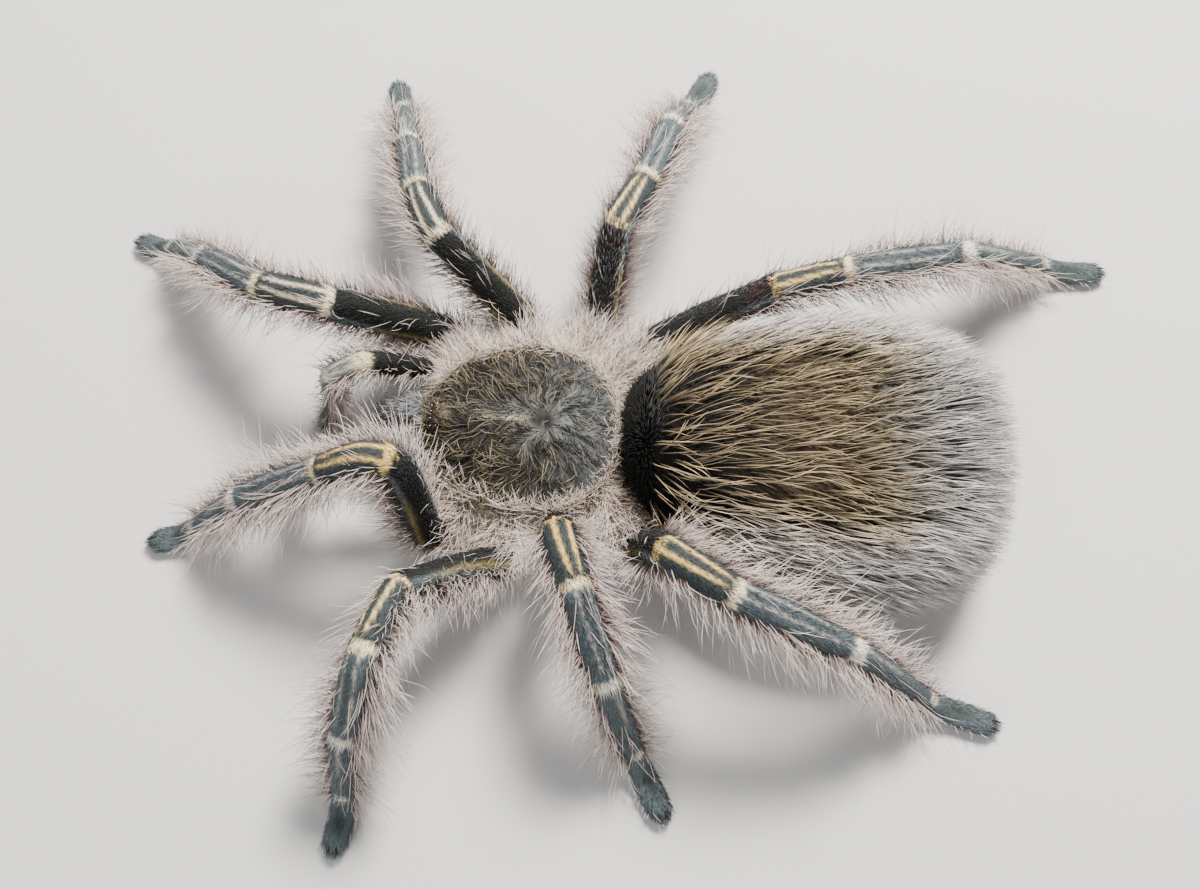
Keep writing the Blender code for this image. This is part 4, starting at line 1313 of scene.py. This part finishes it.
def groove_share(points):
    """1 on the lines of the grooves, falling to 0 beside them, near the pit and near the rim."""
    x, y = points[:, 0], points[:, 1]
    part = shield_part(x, y)
    lines = np.max([bump_at(bearing_of(x, y), g, SHADE_WIDTH) for g in GROOVES], axis=0)
    return lines * smooth(0.08, 0.2, part) * (1 - smooth(0.6, 0.85, part))


def midline_share(points):
    """1 on the pale ridge from the pit to the eye mound."""
    x, y = points[:, 0], points[:, 1]
    return bump_at(x, 0.0, 0.36) * smooth(1.5, 4.0, -y) * (1 - smooth(10.8, 12.0, -y))


def shield_colour(points):
    """Dark brown-black in front, greyer behind the pit, a pale line from the pit to the eyes, and painted
    shade in the pit and the grooves.
    """
    x, y = points[:, 0], points[:, 1]
    part = shield_part(x, y)
    colour = layered(
        SHIELD_DARK * 0.8,
        (SHIELD_GREY * 0.5, smooth(-4.0, 3.5, y + 0.25 * np.abs(x))),
        (PINK, 0.5 * smooth(0.93, 1.0, part)),
        (CREAM, 0.45 * midline_share(points)),
        # painted shade: the pit and the lines of the grooves are darkened
        (SHIELD_DARK * 0.2, np.maximum(bump_at(part, 0.0, 0.08), 0.6 * groove_share(points))))
    return colour * (1 + 0.25 * wobble(points, 3.0, 11))[:, None]


for place, y in (("pit", -0.01), ("head region", HEAD_Y)):
    print(f"height of the {place} mm:", round(float(shield_relief(0.0, y, shield_part(0.0, y))), 2))

# %% Shield plate
UNDER_Z = 8.3
FLAT = np.array([1, 1, 0])
parts = np.concatenate([np.linspace(0.004, 0.93, 46), np.linspace(0.945, 1.0, 8)])[:, None]
angle = np.linspace(0, 2 * math.pi, 201)[None, :-1]
rim_x, rim_y = shield_rim(angle)
x, y = rim_x * parts, rim_y * parts
top = np.stack([x, y, shield_relief(x, y, parts * np.ones_like(angle))], axis=-1)
drop = np.array([0.12, 0.3, 0.5, 0.62])[:, None, None]
edge = top[-1:] * FLAT * (1 - 0.04 * drop ** 2) + UP * (top[-1:, :, 2:] - drop)
under = edge[-1:] * FLAT * np.array([0.9, 0.5, 0.05])[:, None, None] + UNDER_Z * UP
points, faces = closed_grid(np.concatenate([top, edge, under]))
shield = show("head_shield", points, faces, SHIELD, "shield_brown", shield_colour(points))
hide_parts("carapace")

# %% [markdown]
# ## The eyes
# Eight eyes sit in two rows on one low mound behind the front rim. The mound follows the shield's
# dome, raised by a quarter of an ellipse, and each eye is a small ball sunk in it, its size and its
# place given on the mound. A mound lofted from circles would not fit the dome's slope.

# %% Eye mound and eyes
MOUND_Y, MOUND_WIDE, MOUND_LONG, MOUND_HIGH = -13.6, 2.05, 1.25, 1.15
EYES = {"front_middle": (0.50, -0.50, 0.30), "front_outer": (1.38, -0.52, 0.33),    # sideways, back, radius
        "rear_middle": (0.86, 0.32, 0.20), "rear_outer": (1.55, 0.28, 0.28)}


def mound_place(part, angle, rise):
    """On the shield, raised by a part of the mound's height."""
    x = MOUND_WIDE * part * np.sin(angle)
    y = MOUND_Y - MOUND_LONG * part * np.cos(angle)
    ground = shield_height(x, y, np.minimum(shield_part(x, y), 1.0)) + 0.2
    return np.stack([x, y, ground + MOUND_HIGH * rise], axis=-1)


climb = np.concatenate([np.linspace(1.12, 1.0, 4), np.sin(np.linspace(math.pi / 2, 0.01, 26))[1:]])[:, None]
lift = np.sqrt(np.maximum(1 - climb ** 2, 0)) - np.maximum(climb - 1, 0) * 4.0
angle = np.linspace(0, 2 * math.pi, 65)[None, :-1]
one = np.ones((len(climb), angle.shape[1]))
points, faces = closed_grid(mound_place(climb * one, angle * one, lift * one))
dark = np.tile(SHIELD_DARK * 0.5, (len(points), 1))
mound = show("eye_mound_skin", points, faces, SHIELD, "shield_brown", dark)
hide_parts("eye_mound")
for name, (x, y, radius) in EYES.items():
    for side, sign in SIGN.items():
        part = math.hypot(x / MOUND_WIDE, y / MOUND_LONG)
        bearing = math.atan2(x / MOUND_WIDE, -y / MOUND_LONG) * sign
        middle = mound_place(np.array(part), np.array(bearing), math.sqrt(1 - part * part))
        middle[2] -= 0.1 * radius
        ball = ellipsoid(middle, radius, rings=20, sides=40, gap=0.03)
        eye = show(f"eye_lens_{name}_{side}", *ball, EYE, "eye_black")
        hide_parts(f"eye_{name}_{side}")

# %% [markdown]
# ## Fangs and claws
# The fangs are folded under the jaws, so they are short limbs that run back and turn up. A claw is a
# curved cone that leaves the foot's tip and bends to the floor, two on each foot. All sixteen are one
# piece, since nothing else tells them apart.

# %% Fangs
FANG_RADIUS = (0.62, 0.5, 0.14)
FANG_CORNERS = [(2.3, -20.6, 0.95), (2.3, -18.2, 0.95), (2.3, -16.0, 2.1)]
for side in SIGN:
    tooth = ShortLimb(f"fang_{side}", on_side(FANG_CORNERS, side), 2.4, joint_places,
                      FANG_RADIUS, FANG_RADIUS, rounded_tip=0.2)
    horn = closed_grid(tooth.tube(tooth.total, rings=24, sides=16))
    fang = show(f"fang_tooth_{side}", *horn, FANG, "fang_black")
    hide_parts(f"fang_{side}")


# %% Claws
def claw(limb, sign):
    """Spine: start + 1.5 f ahead, 0.25 f - 0.75 f^2 up and 0.12 f aside, with radius 0.17 (1 - 0.86 f)."""
    p, along, back, side = [v[0] for v in limb.frame_at(np.array([limb.total - 0.9]))]
    start = p + 0.45 * sign * side + 0.55 * back
    f = np.linspace(0, 1, 7)[:, None]
    spine = start + along * 1.5 * f + back * (0.25 * f - 0.75 * f ** 2) + side * sign * 0.12 * f
    radius = 0.17 * (1 - 0.86 * f)
    q = np.linspace(0, 2 * math.pi, 9)[:-1, None]
    return closed_grid(spine[:, None] + radius[:, None] * (np.cos(q) * side + np.sin(q) * back))


show("claws", *joined([claw(limb, sign) for limb in LEGS.values() for sign in (1, -1)]), FANG, "fang_black")

# %% [markdown]
# ## Hair of the shield
# Short hair whirls out from the pit: dark brown in front with a few longer golden hairs, grey and
# sparser behind, and thin along the grooves, so that they show as lines. Along the grooves and
# round the pit its colour is darkened as painted shade. Even places on the dome first, then a share
# of them stays bare.


# %% Hair on the shield
def shield_surface(x, y):
    """Places on the shield and normals from the slopes of its height."""
    step = 0.02
    height = lambda dx, dy: shield_relief(x + dx, y + dy, np.minimum(shield_part(x + dx, y + dy), 1.0))
    slope_x = (height(step, 0) - height(-step, 0)) / (2 * step)
    slope_y = (height(0, step) - height(0, -step)) / (2 * step)
    normal = unit(np.stack([-slope_x, -slope_y, np.ones_like(x)], axis=1))
    return np.stack([x, y, height(0, 0)], axis=1), normal


def shield_fur(coat, count):
    """Hair leaves the pit along the dome, swept forward on its front sides, with a slow whirl of its own."""
    dice = coat.dice
    u, v = even(count, dice)
    part = np.sqrt(0.0008 + 0.985 * u)
    rim_x, rim_y = shield_rim(2 * math.pi * v)
    behind = smooth(-1.0, 5.0, rim_y * part)
    sparse = 1 - 0.45 * behind - 0.35 * smooth(0.7, 0.95, part) * (1 - smooth(-11.0, -6.0, rim_y * part))
    root, normal = shield_surface(rim_x * part, rim_y * part)
    grows = dice.random(count) < sparse * (1 - 0.55 * groove_share(root))
    part, behind, v, root, normal = [values[grows] for values in (part, behind, v, root, normal)]
    n = len(root)
    forward = np.array([0, -0.3, 0]) * smooth(2.0, 6.0, np.abs(root[:, 0]))[:, None]
    aim = unit(root * FLAT + 1e-6) + forward * (1 - behind)[:, None]
    lie = turned(flat_on(aim, normal), normal, 0.7 * wobble(root, 5.0, 12) + dice.normal(0, 0.25, n))
    golden = dice.random(n) < 0.15 - 0.09 * behind
    length = dice.uniform(1.5, 2.9, n) * (0.3 + 0.7 * smooth(0.03, 0.4, part)) * (1 - 0.35 * behind)
    plain = mix(SHIELD_DARK * 1.5, SHIELD_GREY, np.clip(behind + 0.35, 0, 1))
    tip = mix(plain, SHIELD_HAIR, golden * dice.uniform(0.5, 1.0, n)) * dice.uniform(0.5, 1.1, (n, 1))
    tip = mix(tip, CREAM * 0.8, 0.65 * midline_share(root) * dice.uniform(0.3, 1.0, n))
    tip = mix(tip, PINK, 0.7 * smooth(0.86, 1.0, part) * dice.random(n))
    # painted shade: hair is darkened along the grooves and towards the pit
    tip = tip * ((1 - 0.65 * groove_share(root)) * (0.45 + 0.55 * smooth(0.03, 0.15, part)))[:, None]
    coat.grow(root, normal, lie, length * (1 + 0.55 * golden),
              dice.uniform(0.09, 0.16, n) * (1 + 0.2 * golden), dice.uniform(0.15, 0.5, n),
              -dice.uniform(0.2, 0.6, n), 0.8 * wobble(root, 3.0, 13) + dice.normal(0, 0.6, n),
              tip * 0.3, tip, np.stack([part, v], axis=1))


coat = Coat("coat_shield", seed=400)
shield_fur(coat, count=10200)
coat.make(HAIR, "shield_brown")

# %% [markdown]
# ## Fringe and fuzz
# A pale fringe hides the rim of the shield: it hangs longest behind, is short over the jaws and
# points outwards at the flanks, while some hairs lie in over the rim. Over the core and the hips
# stands the softest and densest fuzz of the whole animal. It grows out of the wrapped skin itself,
# because no single formula covers the places where the limbs meet.


# %% Fringe of the shield
FRINGE_TOP = 8.6                # highest roots of the fringe, just under the rim
GOLDEN_STEP = 0.6180339887      # the golden ratio less 1


def fringe_fur(coat, count):
    """Places step round the rim by the golden ratio and drop below it; flank and rear set the lie."""
    dice = coat.dice
    v = (np.arange(count) * GOLDEN_STEP) % 1.0
    angle = 2 * math.pi * v
    x, y = shield_rim(angle)
    front, rear = smooth(0.75, 0.97, np.cos(angle)), smooth(0.3, 0.9, -np.cos(angle))
    drop = dice.uniform(0.1, 1.0, count) * (2.2 + 1.4 * rear - 1.4 * front)
    out = unit(np.stack([x, y - SHIELD_MIDDLE, np.zeros(count)], axis=1))
    normal = unit(out + 0.5 * UP)
    flank = 1 - np.maximum(front, smooth(0.2, 0.7, -np.cos(angle)))
    over = dice.random(count) < 0.4 - 0.15 * flank
    drop, rear = np.where(over, 0.25 * drop, drop), np.where(over, 0.0, rear)
    root = np.stack([x, y, FRINGE_TOP - drop], axis=1) - out * (0.15 + 0.25 * drop[:, None])
    outward_share = np.where(over, 0.0, np.maximum(rear, 0.8 * flank))
    up = UP * (1 - 0.75 * outward_share)[:, None]
    lie = turned(flat_on(up + (0.6 + outward_share)[:, None] * out + 0.01, normal), normal,
                 dice.normal(0, 0.45, count) * (1 + 0.9 * flank))
    tip = mix(PINK, CREAM, dice.random(count))
    tip = mix(tip, TAN, 0.45 * rear) * dice.uniform(0.85, 1.1, (count, 1))
    reach = dice.uniform(1.5, 3.4, count) + 1.1 * rear + dice.uniform(0.3, 2.2, count) * flank
    coat.grow(root, normal, lie, reach * (1 - 0.62 * front), 0.12 * dice.uniform(0.7, 1.2, count),
              0.7 + dice.normal(0, 0.3, count) - 0.3 * flank, -dice.uniform(0.0, 0.9, count),
              # painted light: the bases of the flank hairs are lighter, to fill the shade under the rim
              dice.normal(0, 0.5, count), tip * (0.5 + 0.2 * flank[:, None]), tip,
              np.stack([drop / 4.0, v], axis=1))


coat = Coat("coat_fringe", seed=410)
fringe_fur(coat, count=7000)
coat.make(LONG_HAIR, "slate_coat")


# %% Fuzz of the core and the hips
CHART_X, CHART_Y, CHART_SIDE = -24, -26, 48     # square seen on the bake map from above and from below, mm


def skin_roots(where, count, dice):
    """Roots on chosen skin points, each moved by up to half a face, and their places on the bake map."""
    chosen = np.nonzero(where)[0]
    pick = chosen[np.sort(dice.integers(0, len(chosen), count))]
    normal = skin_normal[pick]
    shift = dice.uniform(-0.5, 0.5, (count, 3)) * VOXEL
    root = skin_points[pick] + shift - normal * np.sum(shift * normal, axis=1, keepdims=True)
    across = (root[:, 0] - CHART_X) / (2 * CHART_SIDE) + 0.5 * (normal[:, 2] < 0)
    chart = np.stack([across, (root[:, 1] - CHART_Y) / CHART_SIDE], axis=1)
    return root, normal, np.clip(chart, 0, 1)


def hip_fuzz(coat, count):
    """Hair aims away from the middle of the body; it is short and dark below, and paler under the rim, where
    its roots are painted light against the rim's shadow.
    """
    dice = coat.dice
    near_body = (skin_points[:, 1] < 15.0) & (skin_points[:, 2] > 1.0) & np.isin(skin_region, (CORE, HIPS))
    above = smooth(-0.7, 0.2, skin_normal[:, 2])
    root, normal, chart = skin_roots(near_body & (dice.random(len(above)) < 0.35 + 0.65 * above), count, dice)
    away = unit(root * FLAT + np.array([0, 3.0, 0])) + 0.15 * UP
    lie = turned(flat_on(away, normal), normal, 0.5 * wobble(root, 4.0, 14) + dice.normal(0, 0.4, count))
    tip = mix(PINK, CREAM, dice.random(count)) * dice.uniform(0.8, 1.12, (count, 1))
    upper = smooth(-0.5, 0.3, normal[:, 2])
    painted_light_under_rim = 1 - smooth(1.05, 1.4, shield_part(root[:, 0], root[:, 1]))
    base = mix(mix(PINK_DARK * 0.7, tip * 0.65, upper), tip * 0.9, painted_light_under_rim * upper)
    coat.grow(root, normal, lie, dice.uniform(2.0, 4.4, count) * (0.6 + 0.4 * upper),
              0.13 * dice.uniform(0.7, 1.2, count), 0.8 + dice.normal(0, 0.28, count),
              -dice.uniform(0.1, 0.9, count), dice.normal(0, 0.5, count), base, tip, chart)


coat = Coat("coat_hips", seed=415)
hip_fuzz(coat, count=11000)
coat.make(LONG_HAIR, "slate_coat")

# %% [markdown]
# ## Hair of the jaws and round the eyes
# The jaws wear short grey hair that runs forward and down. Round the eyes it is shorter still and
# keeps clear of each lens, and a pale tuft stands in the middle of the mound. Both are so short that
# two rings a hair are enough.


# %% Jaws and eye mound
def jaw_fur(coat, count):
    """Hair on the skin of the jaws, lying forward and down."""
    dice = coat.dice
    root, normal, chart = skin_roots((skin_region == JAW_BASE) & (skin_points[:, 2] > 1.2), count, dice)
    lie = turned(flat_on(np.array([0, -1.0, -0.5]), normal), normal, dice.normal(0, 0.25, count))
    tip = mix(JAW, PINK_PALE, 0.6 * dice.random(count)) * dice.uniform(0.6, 1.15, (count, 1))
    coat.grow(root, normal, lie, dice.uniform(1.2, 2.4, count), dice.uniform(0.1, 0.16, count),
              dice.uniform(0.2, 0.7, count), -dice.uniform(0.0, 0.4, count), dice.normal(0, 0.3, count),
              tip * 0.5, tip, chart, rings=2)


def eye_fur(coat, count):
    """Hair on the mound wherever no lens is, lying back, taller and paler in the middle."""
    dice = coat.dice
    part, angle = np.sqrt(dice.uniform(0.0, 1.9, count)), dice.uniform(-math.pi, math.pi, count)
    rise = np.sqrt(np.maximum(1 - part ** 2, 0)) * 0.98
    root = mound_place(part, angle, rise)
    normal = unit(np.stack([np.sin(angle) * part, -np.cos(angle) * part, 0.6 + 0.6 * rise], axis=1))
    clear = np.ones(count, bool)
    for x, y, radius in EYES.values():
        clear &= np.hypot(np.abs(root[:, 0]) - x, root[:, 1] - MOUND_Y - y) > radius + 0.12
    root, normal, part, angle = [values[clear] for values in (root, normal, part, angle)]
    root = root + 0.08 * normal         # less buried, because this hair is so short
    n = len(root)
    tuft = 0.75 * bump_at(root[:, 0], 0.0, 0.55) * smooth(-0.3, 0.6, root[:, 1] - MOUND_Y)
    lie = turned(flat_on(np.array([0, 1.0, 0]) + 0.4 * normal, normal), normal, dice.normal(0, 0.5, n))
    tip = mix(SHIELD_HAIR * 0.5, PINK, tuft * dice.random(n)) * dice.uniform(0.4, 1.1, (n, 1))
    coat.grow(root, normal, lie, dice.uniform(0.6, 1.3, n) * (1 + 1.1 * tuft), dice.uniform(0.06, 0.1, n),
              dice.uniform(0.45, 0.95, n), -dice.uniform(0.1, 0.7, n), dice.normal(0, 0.4, n), tip * 0.4, tip,
              np.stack([part / 1.4, angle / (2 * math.pi) + 0.5], axis=1), rings=2)


coat = Coat("coat_jaws", seed=420)
jaw_fur(coat, count=4000)
coat.make(HAIR, "jaw_grey")
coat = Coat("coat_eyes", seed=430)
eye_fur(coat, count=1700)
coat.make(HAIR, "shield_brown")
print("coat faces in all:", Coat.total)

# %% [markdown]
# ## Floor, light and camera
# A plain pale floor, one soft lamp from the right side of the animal, which makes the hair's shadows
# readable, and a broad weak fill on the other side. The camera looks down from the left side at
# almost seventy degrees, and it stands close, as one does over so small an animal.

# %% Floor
FLOOR_HALF = 2.0                # metres
corners = FLOOR_HALF * np.array([[-1, -1, 0], [1, -1, 0], [1, 1, 0], [-1, 1, 0]])
floor_mesh = mesh_from("floor", corners, np.array([[0, 1, 2, 3]]))
floor_mesh.materials.append(Finish("pale_floor", Base_Color=(0.6, 0.59, 0.575), Roughness=0.9).material)
floor = put_in_scene("floor", floor_mesh)
print("floor metres:", list(floor.dimensions))


# %% Light
def look_back(thing, place, direction):
    """An object put at a place and turned so that it looks against a direction."""
    thing.location = place
    thing.rotation_mode = "QUATERNION"
    thing.rotation_quaternion = (-Vector(direction)).to_track_quat("-Z", "Y")


def lamp(name, place, energy, size, colour):
    """A square soft lamp aimed at the animal."""
    light = bpy.data.lights.new(name, "AREA")
    light.energy, light.size, light.color = energy, size, colour
    holder = put_in_scene(name, light)
    look_back(holder, place, place)
    print(f"{name} lamp: {energy} W, {round(1000 * size)} mm wide")


lamp("key", place=(-0.3, 0.12, 0.46), energy=11.0, size=0.16, colour=(1.0, 0.975, 0.94))
lamp("fill", place=(0.45, -0.25, 0.35), energy=2.0, size=0.5, colour=(0.96, 0.98, 1.0))
world = bpy.data.worlds.new("studio")
world.use_nodes = True
sky = world.node_tree.nodes["Background"]
sky.inputs["Color"].default_value = (0.9, 0.91, 0.93, 1.0)
sky.inputs["Strength"].default_value = 0.42
bpy.context.scene.world = world

# %% Camera
AZIMUTH, ELEVATION = 0.0439958, 1.2135612       # radians: 2.5 and 69.5 degrees
DISTANCE = 165.0
AIM = np.array([-1.43546, 6.99962, 0.0])
SENSOR = 36.0
LENS_PER_WIDTH = 1.02776        # distance over the width seen at that distance
back = np.array([math.cos(ELEVATION) * math.cos(AZIMUTH), math.cos(ELEVATION) * math.sin(AZIMUTH),
                 math.sin(ELEVATION)])
camera_data = bpy.data.cameras.new("camera")
camera_data.sensor_width = SENSOR
camera_data.lens = SENSOR * LENS_PER_WIDTH
camera_data.clip_start, camera_data.clip_end = 0.005, 20.0
camera = put_in_scene("camera", camera_data)
look_back(camera, Vector((PIT + AIM + DISTANCE * back) * MM), back)
bpy.context.scene.camera = camera
print("camera at", [round(v, 3) for v in camera.location])

# %% [markdown]
